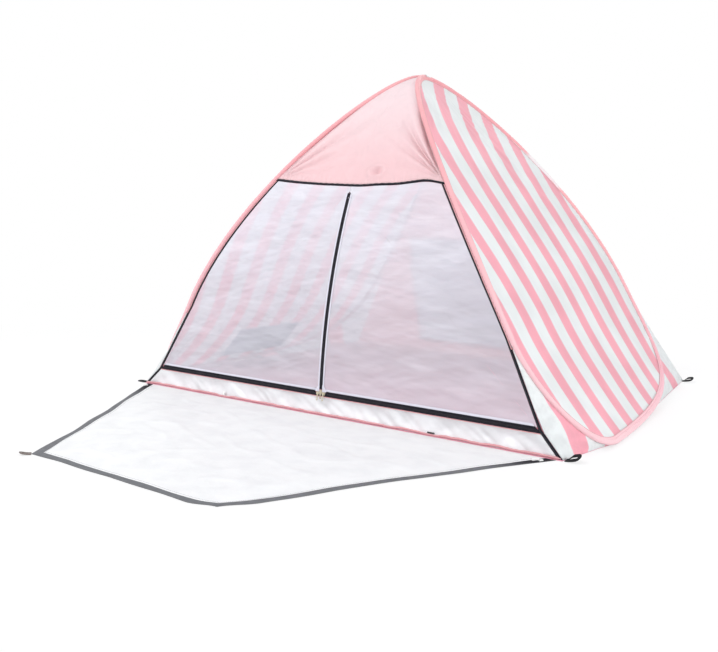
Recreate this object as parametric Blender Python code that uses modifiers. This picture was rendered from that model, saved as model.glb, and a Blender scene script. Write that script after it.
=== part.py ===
"""Pop-up beach tent: two sprung wire hoops, striped sides, a two-leaf mesh door and a zip-up porch.

Metres, +Z up, +Y towards the back. The origin is the middle of the floor's underside.
"""

import math

import bmesh
import bpy
from mathutils import Matrix, Vector
from mathutils.geometry import interpolate_bezier

TENT = "pop_up_beach_tent"

# Overall sizes
FLOOR_WIDTH = 1.65
FLOOR_DEPTH = 1.46
PEAK_HEIGHT = 1.170

# Cloth, seams and tubes
SHEET = 0.001
SEAM_GAP = 0.0004
SLEEVE_RADIUS = 0.008
SLEEVE_WALL = 0.001
WIRE_RADIUS = 0.002
FERRULE_WALL = 0.0008
FERRULE_LENGTH = 0.040
PIPING_RADIUS = 0.003

# Hoop: a closed wire through its peak, foremost, lowest and rearmost points
PEAK_Y = -0.095
FORE_X = 0.640
FORE_SETBACK = 0.055
FORE_Z = 0.310
LOW_OVERHANG = 0.065
LOW_Y = -0.440
REAR_X = 0.590
REAR_SETBACK = 0.140
REAR_Z = 0.405
# How long the curve keeps each knot's direction, in front of it and behind it along the wire
PEAK_FRONT_REACH = 0.205
PEAK_REAR_REACH = 0.345
FORE_UPPER_REACH = 0.480
FORE_LOWER_REACH = 0.160
LOW_FRONT_REACH = 0.210
LOW_REAR_REACH = 0.865
REAR_LOWER_REACH = 0.380
REAR_UPPER_REACH = 0.440
# How far the sides lean in, metres across for each metre up
FORE_LEAN = 0.52
REAR_LEAN = 0.57

# Door and sill
DOOR_TOP = 0.742
TOP_TAPE_WIDTH = 0.010
SIDE_TAPE_WIDTH = 0.009
ZIP_TAPE_WIDTH = 0.0085
ZIP_SLIT = 0.002
ZIP_LINE = 0.0695
ZIP_SETBACK = 0.020
CENTRE_ZIP_DROP = 0.017
DOOR_BOW = 0.030
DOOR_FOOT_INSET = 0.068
NOTCH_HALF_WIDTH = 0.021

# Rear window
WINDOW_HALF_WIDTH = 0.420
WINDOW_LOW = 0.060
WINDOW_HIGH = 0.555
COVER_MARGIN = 0.015

# Porch
PORCH_LENGTH = 0.820
PORCH_REAR_HALF = 0.808
PORCH_FAR_HALF = 0.325
PORCH_TAPE_WIDTH = 0.026
PORCH_WAVE = 0.005
PORCH_LOOP_LENGTH = 0.030
PORCH_LOOP_WIDTH = 0.020
PORCH_LOOP_TURN = 38.0
PORCH_SLIDER_START = 0.045

# Sliders and pulls
SLIDER_LENGTH = 0.012
SLIDER_WIDTH = 0.009
PLATE = 0.0012
PLATE_GAP = 0.0006
POST_GAP = 0.0004
SLIDER_SPACING = 0.0008
PULL_LENGTH = 0.024
PULL_WIDTH = 0.006
PULL_THICKNESS = 0.0012
PULL_GAP = 0.0004
PULL_NECK = 0.7
PULL_HOLE_START = 0.45
PULL_HOLE_SHARE = 0.45

# Corner loops
LOOP_LENGTH = 0.042
LOOP_WIDTH = 0.026
LOOP_BAND = 0.006
LOOP_THICKNESS = 0.002

# Pocket, ties and ring
POCKET_FRONT_Y = -0.290
POCKET_REAR_Y = 0.110
POCKET_LOW = 0.045
POCKET_HIGH = 0.170
TIE_X = 0.420
TIE_LENGTH = 0.024
TIE_RADIUS = 0.0025
RING_X = -0.050
RING_Z = 0.187
RING_WIDTH = 0.050
RING_HEIGHT = 0.032
RING_RADIUS = 0.002

# Patch where the sleeves meet at the peak
PATCH_LENGTH = 0.030
PATCH_ANGLES = (10, 32, 54, 76, 98)

# Creases in the hood, waves in the sill and in the porch
HOOD_FOLD = 0.005
CREASES = 5
SILL_WAVE = 0.001
SILL_WAVES = 9
PORCH_WAVES = 2
PORCH_WAVE_SLANT = 0.6

# Gussets: the share of their rows down to the floor's corner, and how fast their foot then nears the hoop
GUSSET_CORNER = 0.45
GUSSET_EASE = 3
GUSSET_SHORTEST = 0.003
FLOOR_NEAR_GROUND = 0.030

# How finely lines and sheets are divided
FORE_STEPS = 17
LOW_STEPS = 11
REAR_STEPS = 15
PEAK_STEPS = 15
SLEEVE_SIDES = 8
SIDE_COLUMNS = 5
LEVEL_STEP = 0.004
DOOR_ROW_STEP = 0.036
HOOD_COLUMNS = 15
TOP_TAPE_COLUMNS = 9
MESH_COLUMNS = 5
LEAF_COLUMNS = 7
SILL_COLUMNS = 41
SILL_ROWS = 5
LOWER_TAPE_COLUMNS = 13
PIPING_POINTS = 13
WINDOW_COLUMNS = 4
SIDE_STRIP_COLUMNS = 2
RING_POINTS = 20
GUSSET_COLUMNS = 4
PORCH_COLUMNS = 13
PORCH_ROWS = 11
ARC_POINTS = 9

SIDES = (("left", -1), ("right", 1))

FRONT_EDGE = -FLOOR_DEPTH / 2
REAR_EDGE = FLOOR_DEPTH / 2
CORNER_X = FLOOR_WIDTH / 2
EDGE_CLEARANCE = SLEEVE_RADIUS + SEAM_GAP
SEAM = SHEET / 2 + SEAM_GAP
FOOT = SHEET + SEAM
CENTRE_ZIP_TOP = DOOR_TOP - CENTRE_ZIP_DROP

# Colour, roughness, metallic
PINK_CLOTH = ("pink_cloth", (0.92, 0.44, 0.45), 0.75, 0.0)
STRIPED_CLOTH = ("striped_cloth", (0.93, 0.66, 0.67), 0.75, 0.0)
SILVER_CLOTH = ("silver_cloth", (0.80, 0.81, 0.83), 0.55, 0.0)
FLOOR_CLOTH = ("floor_cloth", (0.86, 0.58, 0.62), 0.60, 0.0)
DOOR_MESH = ("door_mesh", (0.66, 0.60, 0.70), 0.80, 0.0)
BLACK_ZIP = ("black_zip", (0.02, 0.02, 0.025), 0.50, 0.0)
GREY_ZIP = ("grey_zip", (0.16, 0.16, 0.17), 0.55, 0.0)
WHITE_TAPE = ("white_tape", (0.85, 0.85, 0.85), 0.65, 0.0)
BLACK_WEBBING = ("black_webbing", (0.02, 0.02, 0.02), 0.80, 0.0)
GREY_POCKET = ("grey_pocket", (0.38, 0.42, 0.50), 0.75, 0.0)
SPRING_STEEL = ("spring_steel", (0.55, 0.56, 0.58), 0.30, 1.0)
SILVER_METAL = ("silver_metal", (0.70, 0.68, 0.62), 0.30, 1.0)
WHITE_PLASTIC = ("white_plastic", (0.88, 0.88, 0.87), 0.45, 0.0)
BLACK_PLASTIC = ("black_plastic", (0.03, 0.03, 0.03), 0.40, 0.0)


def clear_scene():
    for thing in list(bpy.data.objects):
        bpy.data.objects.remove(thing, do_unlink=True)


def material(finish):
    name, colour, roughness, metallic = finish
    made = bpy.data.materials.get(name)
    if made is None:
        made = bpy.data.materials.new(name)
        made.use_nodes = True
        shader = made.node_tree.nodes["Principled BSDF"]
        shader.inputs["Base Color"].default_value = (*colour, 1.0)
        shader.inputs["Roughness"].default_value = roughness
        shader.inputs["Metallic"].default_value = metallic
        made.diffuse_color = (*colour, 1.0)
    return made


def tent_collection():
    made = bpy.data.collections.get(TENT)
    if made is None:
        made = bpy.data.collections.new(TENT)
        bpy.context.scene.collection.children.link(made)
    return made


def place(name, data, finish, matrix=None, pivot=None):
    """Put a piece in the tent's collection, under its pivot where it moves."""
    made = bpy.data.objects.new(name, data)
    data.materials.append(material(finish))
    tent_collection().objects.link(made)
    if matrix is not None:
        made.matrix_world = matrix
    if pivot is not None:
        made.parent = pivot
        made.matrix_parent_inverse = Matrix.Translation(-pivot.location)
    return made


def pivot_at(name, location, above=None):
    """An empty on a joint's axis, riding on the pivot above it."""
    made = bpy.data.objects.new(name, None)
    made.empty_display_size = 0.05
    made.location = location
    tent_collection().objects.link(made)
    if above is not None:
        made.parent = above
        made.matrix_parent_inverse = Matrix.Translation(-above.location)
    return made


def mix(a, b, share):
    return a + (b - a) * share


def between(table, z):
    """The point of a falling line of points at height z."""
    for high, low in zip(table, table[1:]):
        if high.z >= z >= low.z:
            share = (high.z - z) / (high.z - low.z) if high.z > low.z else 0.0
            return mix(high, low, share), (low - high).normalized()
    end = table[0] if z > table[0].z else table[-1]
    return end.copy(), Vector((0, 0, -1))


def add_skin(made, thickness, offset=0.0):
    """Give an open surface its thickness."""
    skin = made.modifiers.new("thickness", "SOLIDIFY")
    skin.thickness = thickness
    skin.offset = offset


def grid_mesh(name, rows, keep=None):
    """One open surface through rows of points; a row of one point is a tip."""
    build = bmesh.new()
    grid = [[build.verts.new(point) for point in row] for row in rows]
    for i, (upper, lower) in enumerate(zip(grid, grid[1:])):
        cells = max(len(upper), len(lower)) - 1
        for j in range(cells):
            if keep is not None and not keep(i, j):
                continue
            if len(upper) == 1:
                build.faces.new((upper[0], lower[j], lower[j + 1]))
            elif len(lower) == 1:
                build.faces.new((upper[j], lower[0], upper[j + 1]))
            else:
                build.faces.new((upper[j], lower[j], lower[j + 1], upper[j + 1]))
    loose = [vert for vert in build.verts if not vert.link_faces]
    bmesh.ops.delete(build, geom=loose, context="VERTS")
    bmesh.ops.recalc_face_normals(build, faces=build.faces)
    mesh = bpy.data.meshes.new(name)
    build.to_mesh(mesh)
    build.free()
    mesh.shade_smooth()
    return mesh


def sheet(name, rows, finish, pivot=None, keep=None, thickness=SHEET):
    """A cloth panel, thickened equally to both sides of its rows."""
    made = place(name, grid_mesh(name, rows, keep), finish, pivot=pivot)
    add_skin(made, thickness)
    return made


def sided(rows, side):
    return [[Vector((point.x * side, point.y, point.z)) for point in row] for row in rows]


def poly_curve(name, points, radius, bevel_resolution, closed=False, caps=True):
    data = bpy.data.curves.new(name, "CURVE")
    data.dimensions = "3D"
    data.bevel_depth = radius
    data.bevel_resolution = bevel_resolution
    data.use_fill_caps = caps and not closed
    line = data.splines.new("POLY")
    line.points.add(len(points) - 1)
    for knot, point in zip(line.points, points):
        knot.co = (*point, 1.0)
    line.use_cyclic_u = closed
    return data


def flat_curve(name, outlines, thickness):
    """A flat plate: a filled outline, and holes in it, as thick as asked for."""
    data = bpy.data.curves.new(name, "CURVE")
    data.dimensions = "2D"
    data.fill_mode = "BOTH"
    data.extrude = thickness / 2
    for outline in outlines:
        line = data.splines.new("POLY")
        line.points.add(len(outline) - 1)
        for knot, (x, y) in zip(line.points, outline):
            knot.co = (x, y, 0.0, 1.0)
        line.use_cyclic_u = True
    return data


def facing(origin, across, up):
    """A matrix whose X runs across and Y runs up; Z is square to both."""
    x = across.normalized()
    z = x.cross(up).normalized()
    y = z.cross(x)
    turn = Matrix((x, y, z)).transposed().to_4x4()
    return Matrix.Translation(origin) @ turn


# Hoops

def hoop_line():
    """The right hoop's middle line from the peak, down the front, along the ground and up the back."""
    along_y = Vector((0, 1, 0))
    peak = Vector((EDGE_CLEARANCE, PEAK_Y, PEAK_HEIGHT))
    fore = Vector((FORE_X, FRONT_EDGE + FORE_SETBACK, FORE_Z))
    low = Vector((CORNER_X + LOW_OVERHANG, LOW_Y, SLEEVE_RADIUS))
    rear = Vector((REAR_X, REAR_EDGE - REAR_SETBACK, REAR_Z))
    fore_up = Vector((-FORE_LEAN, 0, 1)).normalized()
    rear_up = Vector((-REAR_LEAN, 0, 1)).normalized()
    runs = (
        (peak, -along_y * PEAK_FRONT_REACH, fore_up * FORE_UPPER_REACH, fore, FORE_STEPS),
        (fore, -fore_up * FORE_LOWER_REACH, -along_y * LOW_FRONT_REACH, low, LOW_STEPS),
        (low, along_y * LOW_REAR_REACH, -rear_up * REAR_LOWER_REACH, rear, REAR_STEPS),
        (rear, rear_up * REAR_UPPER_REACH, along_y * PEAK_REAR_REACH, peak, PEAK_STEPS),
    )
    points = []
    for start, leaving, arriving, end, steps in runs:
        points += interpolate_bezier(start, start + leaving, end + arriving, end, steps + 1)[:-1]
    return points


HOOP = hoop_line()
HOOP_COUNT = len(HOOP)
FORE_INDEX = FORE_STEPS
LOW_INDEX = FORE_STEPS + LOW_STEPS
REAR_INDEX = LOW_INDEX + REAR_STEPS
HOOP_MIDDLE = sum(HOOP, Vector()) / HOOP_COUNT


def hoop_tangent(i):
    return (HOOP[(i + 1) % HOOP_COUNT] - HOOP[i - 1]).normalized()


def hoop_inward(i):
    """The direction across the wire towards the hoop's middle."""
    along = hoop_tangent(i)
    inward = HOOP_MIDDLE - HOOP[i]
    return (inward - along * inward.dot(along)).normalized()


def run_of(line, start, end, pull_back=0.0):
    """Part of a closed line between two places, given in steps along it, shortened at both ends."""
    count = len(line)

    def at(place_on_line):
        i = math.floor(place_on_line)
        return mix(line[i % count], line[(i + 1) % count], place_on_line - i)

    inner = [line[i % count].copy() for i in range(math.floor(start) + 1, math.ceil(end))]
    points = [at(start)] + inner + [at(end)]
    points[0] += (points[1] - points[0]).normalized() * pull_back
    points[-1] += (points[-2] - points[-1]).normalized() * pull_back
    return points


def mirrored(points, side):
    return [Vector((point.x * side, point.y, point.z)) for point in points]


# The wire's ferrule lies against the sleeve's outer wall, and the wire runs through it
SLEEVE_BORE = (SLEEVE_RADIUS - SLEEVE_WALL) * math.cos(math.pi / SLEEVE_SIDES)
FERRULE_BORE = (WIRE_RADIUS + SEAM_GAP) / math.cos(math.pi / SLEEVE_SIDES)
FERRULE_RADIUS = FERRULE_BORE + FERRULE_WALL
WIRE_SHIFT = SLEEVE_BORE - FERRULE_RADIUS - SEAM_GAP
WIRE = [point - hoop_inward(i) * WIRE_SHIFT for i, point in enumerate(HOOP)]
JOINT_START = LOW_INDEX - 0.5
JOINT_END = LOW_INDEX + 0.5
PEAK_START = -0.5
FERRULE_PLACE = 0.25


def open_tube(name, points, radius, wall, finish):
    """A tube open at both ends."""
    made = place(name, poly_curve(name, points, radius, 2, caps=False), finish)
    add_skin(made, wall, -1.0)
    return made


def make_hoop(word, side):
    """A closed wire in three lengths of sleeve, its ends joined by a ferrule near the ground."""
    wire = mirrored(WIRE, side)
    data = poly_curve(f"{word}_hoop_wire", wire, WIRE_RADIUS, 1, closed=True)
    place(f"{word}_hoop_wire", data, SPRING_STEEL)
    start, end = wire[LOW_INDEX], wire[LOW_INDEX + 1]
    middle = mix(start, end, FERRULE_PLACE)
    half = (end - start).normalized() * FERRULE_LENGTH / 2
    ferrule = [middle - half, middle + half]
    open_tube(f"{word}_hoop_ferrule", ferrule, FERRULE_RADIUS, FERRULE_WALL, SPRING_STEEL)
    ring = mirrored(HOOP, side)
    half_gap = SEAM_GAP / 2
    front = run_of(ring, PEAK_START, JOINT_START, half_gap)
    foot = run_of(ring, JOINT_START, JOINT_END, half_gap)
    back = run_of(ring, JOINT_END, HOOP_COUNT + PEAK_START, half_gap)
    open_tube(f"{word}_front_sleeve", front, SLEEVE_RADIUS, SLEEVE_WALL, PINK_CLOTH)
    open_tube(f"{word}_foot_sleeve", foot, SLEEVE_RADIUS, SLEEVE_WALL, PINK_CLOTH)
    open_tube(f"{word}_rear_sleeve", back, SLEEVE_RADIUS, SLEEVE_WALL, PINK_CLOTH)


def make_apex_patch():
    """A short cloth patch laid over both sleeves where the hoops meet at the top."""
    radius = EDGE_CLEARANCE + SHEET / 2
    rows = []
    for step in (-1, 0, 1):
        reach = PATCH_LENGTH / 2 / (HOOP[step] - HOOP[0]).length if step else 0.0
        centre = mix(HOOP[0], HOOP[step], reach)
        right = []
        for degrees in PATCH_ANGLES:
            angle = math.radians(degrees)
            right.append(centre + Vector((math.cos(angle), 0, math.sin(angle))) * radius)
        rows.append(right + mirrored(reversed(right), -1))
    sheet("apex_patch", rows, WHITE_TAPE)


# Side panels

def side_edge(i):
    return HOOP[i % HOOP_COUNT] + hoop_inward(i % HOOP_COUNT) * EDGE_CLEARANCE


def side_chains():
    """The side panel's front and rear edges, both falling from its top point to its bottom point."""
    ring = [side_edge(i) for i in range(HOOP_COUNT)]
    top = max(range(HOOP_COUNT), key=lambda i: ring[i].z)
    low = min(range(HOOP_COUNT), key=lambda i: ring[i].z)
    front = [ring[i % HOOP_COUNT] for i in range(top, low + 1 + (HOOP_COUNT if low < top else 0))]
    back = [ring[i % HOOP_COUNT] for i in range(low, top + 1 + (HOOP_COUNT if top < low else 0))]
    return front, back[::-1]


def thinned(levels, step):
    """Falling heights, none closer than the step."""
    kept = []
    for z in sorted(levels, reverse=True):
        if not kept or kept[-1] - z >= step:
            kept.append(z)
    return kept


def side_row(front, back, z, columns):
    first, _ = between(front, z)
    last, _ = between(back, z)
    return [mix(first, last, j / (columns - 1)) for j in range(columns)]


def side_rows(columns):
    front, back = side_chains()
    inner = [point.z for point in front[1:-1] + back[1:-1]]
    inner = [z for z in inner if front[-1].z + LEVEL_STEP / 2 < z < front[0].z - LEVEL_STEP / 2]
    rows = [side_row(front, back, z, columns) for z in thinned(inner, LEVEL_STEP)]
    return [[front[0]]] + rows + [[front[-1]]]


def make_side_panel(word, side):
    sheet(f"{word}_side_panel", sided(side_rows(SIDE_COLUMNS), side), STRIPED_CLOTH)


def make_pocket():
    """A flat pocket sewn low on the inside of the left wall."""
    front, back = side_chains()
    levels = [row[0].z for row in side_rows(2)[1:-1]]
    levels = [z for z in levels if POCKET_LOW < z < POCKET_HIGH]
    rows = []
    for z in [POCKET_HIGH] + levels + [POCKET_LOW]:
        first, _ = between(front, z)
        last, _ = between(back, z)
        above, _ = between(front, z + LEVEL_STEP)
        lean = (first.x - above.x) / LEVEL_STEP
        inward = (SHEET + 2 * SEAM_GAP) * math.sqrt(1 + lean * lean)
        row = []
        for y in (POCKET_FRONT_Y, mix(POCKET_FRONT_Y, POCKET_REAR_Y, 0.5), POCKET_REAR_Y):
            share = (y - first.y) / (last.y - first.y)
            row.append(Vector((mix(first.x, last.x, share) - inward, y, z)))
        rows.append(row)
    sheet("storage_pocket", sided(rows, -1), GREY_POCKET)


# Front wall: hood, door and sill all lie on one surface of level rows

FRONT_RIDGE = HOOP[: FORE_INDEX + 1]
FRONT_ZIP_Y = FRONT_EDGE + ZIP_SETBACK


def ridge_inset(along):
    """How far along a level row the sleeve's side is from its middle line."""
    return EDGE_CLEARANCE / math.sqrt(1 - along.x * along.x)


def upper_edge(z):
    point, along = between(FRONT_RIDGE, z)
    point.x -= ridge_inset(along)
    return point


CENTRE_TOP_POINT = Vector((0, upper_edge(CENTRE_ZIP_TOP).y, CENTRE_ZIP_TOP))
CENTRE_LOW_POINT = Vector((0, FRONT_ZIP_Y, ZIP_LINE))


def door_arc():
    """Centre and radius of the centre zip's arc, which bows towards the front."""
    chord = CENTRE_TOP_POINT - CENTRE_LOW_POINT
    half = chord.length / 2
    radius = (half * half + DOOR_BOW * DOOR_BOW) / (2 * DOOR_BOW)
    back = Vector((0, chord.z, -chord.y)).normalized()
    centre = mix(CENTRE_LOW_POINT, CENTRE_TOP_POINT, 0.5) + back * (radius - DOOR_BOW)
    return centre, radius


ARC_CENTRE, ARC_RADIUS = door_arc()
# Slope of the arc at the bottom zip, metres back for each metre up
ZIP_SLOPE = (ZIP_LINE - ARC_CENTRE.z) / (ARC_CENTRE.y - FRONT_ZIP_Y)
UPPER_TAPE_TOP = ZIP_LINE + ZIP_SLIT / 2 + ZIP_TAPE_WIDTH
LOWER_TAPE_LOW = ZIP_LINE - ZIP_SLIT / 2 - ZIP_TAPE_WIDTH
CENTRE_TAPE_LOW = ZIP_LINE - ZIP_SLIT / 2 + SEAM_GAP + SLIDER_LENGTH + 2 * SLIDER_SPACING
SILL_FOOT_Y = FRONT_EDGE + SEAM_GAP + 2 * PIPING_RADIUS + SEAM


def arc_y(z):
    return ARC_CENTRE.y - math.sqrt(ARC_RADIUS**2 - (z - ARC_CENTRE.z) ** 2)


def low_y(z):
    """The flat band of the bottom zip, and the sill that leans out below it to the floor."""
    if z >= LOWER_TAPE_LOW:
        return FRONT_ZIP_Y - (ZIP_LINE - z) * ZIP_SLOPE
    band_foot = FRONT_ZIP_Y - (ZIP_LINE - LOWER_TAPE_LOW) * ZIP_SLOPE
    return mix(SILL_FOOT_Y, band_foot, (z - FOOT) / (LOWER_TAPE_LOW - FOOT))


def centre_y(z):
    return arc_y(z) if z > CENTRE_TAPE_LOW - SEAM_GAP else low_y(z)


def outer_edge(z):
    """The opening's side: up the hoop's sleeve, and below it straight to the floor's corner."""
    if z >= FORE_Z:
        return upper_edge(z)
    start = upper_edge(FORE_Z)
    foot_x = CORNER_X - DOOR_FOOT_INSET
    corner_x = CORNER_X - SEAM
    if z >= ZIP_LINE:
        share = (z - ZIP_LINE) / (FORE_Z - ZIP_LINE)
        x = mix(foot_x, start.x, share)
    else:
        share = (z - FOOT) / (ZIP_LINE - FOOT)
        x = mix(corner_x, foot_x, share)
    if z > UPPER_TAPE_TOP:
        y = mix(low_y(UPPER_TAPE_TOP), start.y, (z - UPPER_TAPE_TOP) / (FORE_Z - UPPER_TAPE_TOP))
    else:
        y = low_y(z)
    return Vector((x, y, z))


def inner_edge_x(z):
    """The side tape's inner edge."""
    step = LEVEL_STEP
    lean = (outer_edge(z + step).x - outer_edge(z).x) / step
    return outer_edge(z).x - SIDE_TAPE_WIDTH * math.sqrt(1 + lean * lean)


# Each door leaf folds on a straight line from the top of the centre zip to the end of the bottom zip
LEAF_LOW = ZIP_LINE + ZIP_SLIT / 2
FOLD_TOP = CENTRE_TOP_POINT
FOLD_FOOT = Vector((inner_edge_x(LEAF_LOW) - 2 * SEAM_GAP, low_y(LEAF_LOW), LEAF_LOW))
FOLD_SLANT = (FOLD_FOOT.x - FOLD_TOP.x) / (FOLD_TOP.z - FOLD_FOOT.z)
FOLD_GAP = SEAM_GAP * math.sqrt(1 + FOLD_SLANT * FOLD_SLANT)


def fold_point(z):
    return mix(FOLD_TOP, FOLD_FOOT, (FOLD_TOP.z - z) / (FOLD_TOP.z - FOLD_FOOT.z))


def front_point(x, z):
    """A point of the front wall: level rows between the centre zip, the leaf's fold and the outer edge."""
    if z <= UPPER_TAPE_TOP:
        return Vector((x, low_y(z), z))
    edge = outer_edge(z)
    if z >= FOLD_TOP.z:
        return Vector((x, edge.y, z))
    fold = fold_point(z)
    flat = ZIP_SLIT / 2 + ZIP_TAPE_WIDTH
    across = abs(x)
    if across <= flat:
        y = centre_y(z)
    elif across <= fold.x:
        y = mix(centre_y(z), fold.y, (across - flat) / (fold.x - flat))
    else:
        y = mix(fold.y, edge.y, (across - fold.x) / (edge.x - fold.x))
    return Vector((x, y, z))


DOOR_ROW_COUNT = math.ceil((DOOR_TOP - LEAF_LOW) / DOOR_ROW_STEP)
FRONT_LEVELS = thinned(
    [point.z for point in FRONT_RIDGE]
    + [mix(UPPER_TAPE_TOP, DOOR_TOP, k / DOOR_ROW_COUNT) for k in range(DOOR_ROW_COUNT + 1)],
    0.0,
)


def front_levels(low, high):
    """Falling heights of the front wall's rows from high to low."""
    inner = [z for z in FRONT_LEVELS if low + LEVEL_STEP < z < high - LEVEL_STEP]
    return [high] + inner + [low]


def front_row(first, last, z, columns):
    return [front_point(mix(first, last, j / (columns - 1)), z) for j in range(columns)]


def front_rows(low, high, span, columns):
    """Rows from high to low; span gives each row's first and last x."""
    return [front_row(*span(z), z, columns) for z in front_levels(low, high)]


HOOD_LOW = DOOR_TOP + SEAM_GAP + TOP_TAPE_WIDTH + SEAM_GAP


def ridge_span(z):
    """From sleeve to sleeve."""
    return -upper_edge(z).x, upper_edge(z).x


def hood_crease(x, z, edge_x):
    """Creases that fan out from the hood's lower corners and die out at its seams."""
    rise = z - HOOD_LOW
    reach = edge_x - abs(x)
    angle = math.atan2(rise, reach + LEVEL_STEP)
    across = math.sin(math.pi * min(1.0, reach / edge_x))
    up = math.sin(math.pi * min(1.0, rise / (PEAK_HEIGHT - HOOD_LOW)))
    return HOOD_FOLD * math.sin(2 * CREASES * angle) * math.sqrt(max(0.0, across)) * max(0.0, up)


def make_hood():
    top = next(point.z for point in FRONT_RIDGE if upper_edge(point.z).x > SLEEVE_RADIUS / 2)
    rows = front_rows(HOOD_LOW, top, ridge_span, HOOD_COLUMNS)
    for row in rows:
        edge_x = row[-1].x
        for point in row:
            point.y -= hood_crease(point.x, point.z, edge_x)
    sheet("hood_panel", rows, PINK_CLOTH)


def make_opening_tapes():
    """The zip tape that the porch closes onto: along the hood and down both sides to the floor."""
    low = DOOR_TOP + SEAM_GAP
    high = HOOD_LOW - SEAM_GAP
    rows = front_rows(low, high, ridge_span, TOP_TAPE_COLUMNS)
    sheet("opening_zip_tape_top", rows, BLACK_ZIP)
    for word, side in SIDES:
        rows = [
            [front_point(inner_edge_x(z), z), front_point(outer_edge(z).x, z)]
            for z in front_levels(FOOT, DOOR_TOP)
        ]
        sheet(f"opening_zip_tape_{word}", sided(rows, side), BLACK_ZIP)


def panel_edge_x(z):
    """Where mesh and sill end beside the side tape."""
    step = LEVEL_STEP
    lean = (inner_edge_x(z + step) - inner_edge_x(z)) / step
    return inner_edge_x(z) - SEAM_GAP * math.sqrt(1 + lean * lean)


def panel_span(z):
    """From side tape to side tape."""
    return -panel_edge_x(z), panel_edge_x(z)


def fixed_mesh_span(z):
    first = SEAM_GAP if z > FOLD_TOP.z else max(SEAM_GAP, fold_point(z).x + FOLD_GAP)
    return first, panel_edge_x(z)


def make_fixed_mesh(word, side):
    """The part of the mesh outside the leaf's fold, sewn in all round."""
    low = FOLD_FOOT.z
    while fixed_mesh_span(low)[1] - fixed_mesh_span(low)[0] < LEVEL_STEP:
        low += LEVEL_STEP / 2
    rows = front_rows(low, DOOR_TOP, fixed_mesh_span, MESH_COLUMNS)
    sheet(f"{word}_fixed_mesh", sided(rows, side), DOOR_MESH)


def leaf_edge_x(z):
    return fold_point(z).x - FOLD_GAP


def make_door_leaf(word, side):
    """One half of the mesh door, with its halves of the centre zip and the bottom zip."""
    tape_in = ZIP_SLIT / 2
    tape_out = tape_in + ZIP_TAPE_WIDTH
    mesh_in = tape_out + SEAM_GAP
    rear_face = Vector((0, SHEET / 2, 0))
    pivot = pivot_at(f"{word}_leaf_pivot", FOLD_TOP + rear_face)

    tip = CENTRE_ZIP_TOP
    while leaf_edge_x(tip) < tape_in + SHEET:
        tip -= SHEET / 2
    rows = front_rows(CENTRE_TAPE_LOW, tip, lambda z: (tape_in, min(tape_out, leaf_edge_x(z))), 2)
    sheet(f"{word}_centre_zip_tape", sided(rows, side), BLACK_ZIP, pivot)

    rows = front_rows(LEAF_LOW, UPPER_TAPE_TOP, lambda z: (NOTCH_HALF_WIDTH, leaf_edge_x(z)), LEAF_COLUMNS)
    sheet(f"{word}_bottom_zip_tape", sided([rows[0], rows[-1]], side), BLACK_ZIP, pivot)

    low = UPPER_TAPE_TOP + SEAM_GAP
    chamfer_top = CENTRE_TAPE_LOW + NOTCH_HALF_WIDTH - mesh_in
    high = tip
    while leaf_edge_x(high) < mesh_in + SHEET:
        high -= SHEET / 2
    levels = [z for z in front_levels(low, high) if abs(z - chamfer_top) > LEVEL_STEP]
    rows = []
    for z in sorted(levels + [chamfer_top], reverse=True):
        first = mesh_in
        if z < chamfer_top:
            first = mix(NOTCH_HALF_WIDTH, mesh_in, (z - low) / (chamfer_top - low))
        rows.append(front_row(first, leaf_edge_x(z), z, LEAF_COLUMNS))
    sheet(f"{word}_mesh_leaf", sided(rows, side), DOOR_MESH, pivot)


def make_sill():
    """The wavy strip below the door, with the lower half of the bottom zip along its top."""
    high = LOWER_TAPE_LOW - SEAM_GAP
    ends = [front_row(*panel_span(z), z, SILL_COLUMNS) for z in (high, FOOT)]
    rows = []
    for k in range(SILL_ROWS):
        share = k / (SILL_ROWS - 1)
        row = [mix(upper, lower, share) for upper, lower in zip(*ends)]
        for point in row:
            wave = math.sin(SILL_WAVES * math.pi * point.x / row[-1].x)
            point.y -= SILL_WAVE * wave * math.sin(math.pi * share)
        rows.append(row)
    sheet("front_sill", rows, SILVER_CLOTH)
    levels = (ZIP_LINE - ZIP_SLIT / 2, LOWER_TAPE_LOW)
    rows = [front_row(*panel_span(z), z, LOWER_TAPE_COLUMNS) for z in levels]
    sheet("bottom_zip_lower_tape", rows, BLACK_ZIP)


def make_piping():
    """A thin pink roll along the floor's front edge, between the sill and the porch."""
    y = FRONT_EDGE + SEAM_GAP + PIPING_RADIUS
    z = SHEET + SEAM_GAP + PIPING_RADIUS
    half = CORNER_X - 2 * PIPING_RADIUS
    points = [Vector((mix(-half, half, k / (PIPING_POINTS - 1)), y, z)) for k in range(PIPING_POINTS)]
    place("front_piping", poly_curve("front_piping", points, PIPING_RADIUS, 2), PINK_CLOTH)


# Rear wall

REAR_RIDGE = [HOOP[i % HOOP_COUNT] for i in range(HOOP_COUNT, REAR_INDEX - 1, -1)]
REAR_FOOT_Y = REAR_EDGE - SHEET


def rear_edge(z):
    if z >= REAR_Z:
        point, along = between(REAR_RIDGE, z)
        point.x -= ridge_inset(along)
        return point
    start = rear_edge(REAR_Z)
    share = (z - FOOT) / (REAR_Z - FOOT)
    return Vector((mix(CORNER_X - SEAM, start.x, share), mix(REAR_FOOT_Y, start.y, share), z))


COVER_LOW = WINDOW_LOW - COVER_MARGIN
COVER_HIGH = WINDOW_HIGH + COVER_MARGIN
REAR_LEVELS = thinned([point.z for point in REAR_RIDGE], 0.0)


def rear_levels(low, high):
    inner = [z for z in REAR_LEVELS + [WINDOW_LOW, WINDOW_HIGH] if low + SHEET < z < high - SHEET]
    return sorted([high, low] + inner, reverse=True)


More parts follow.
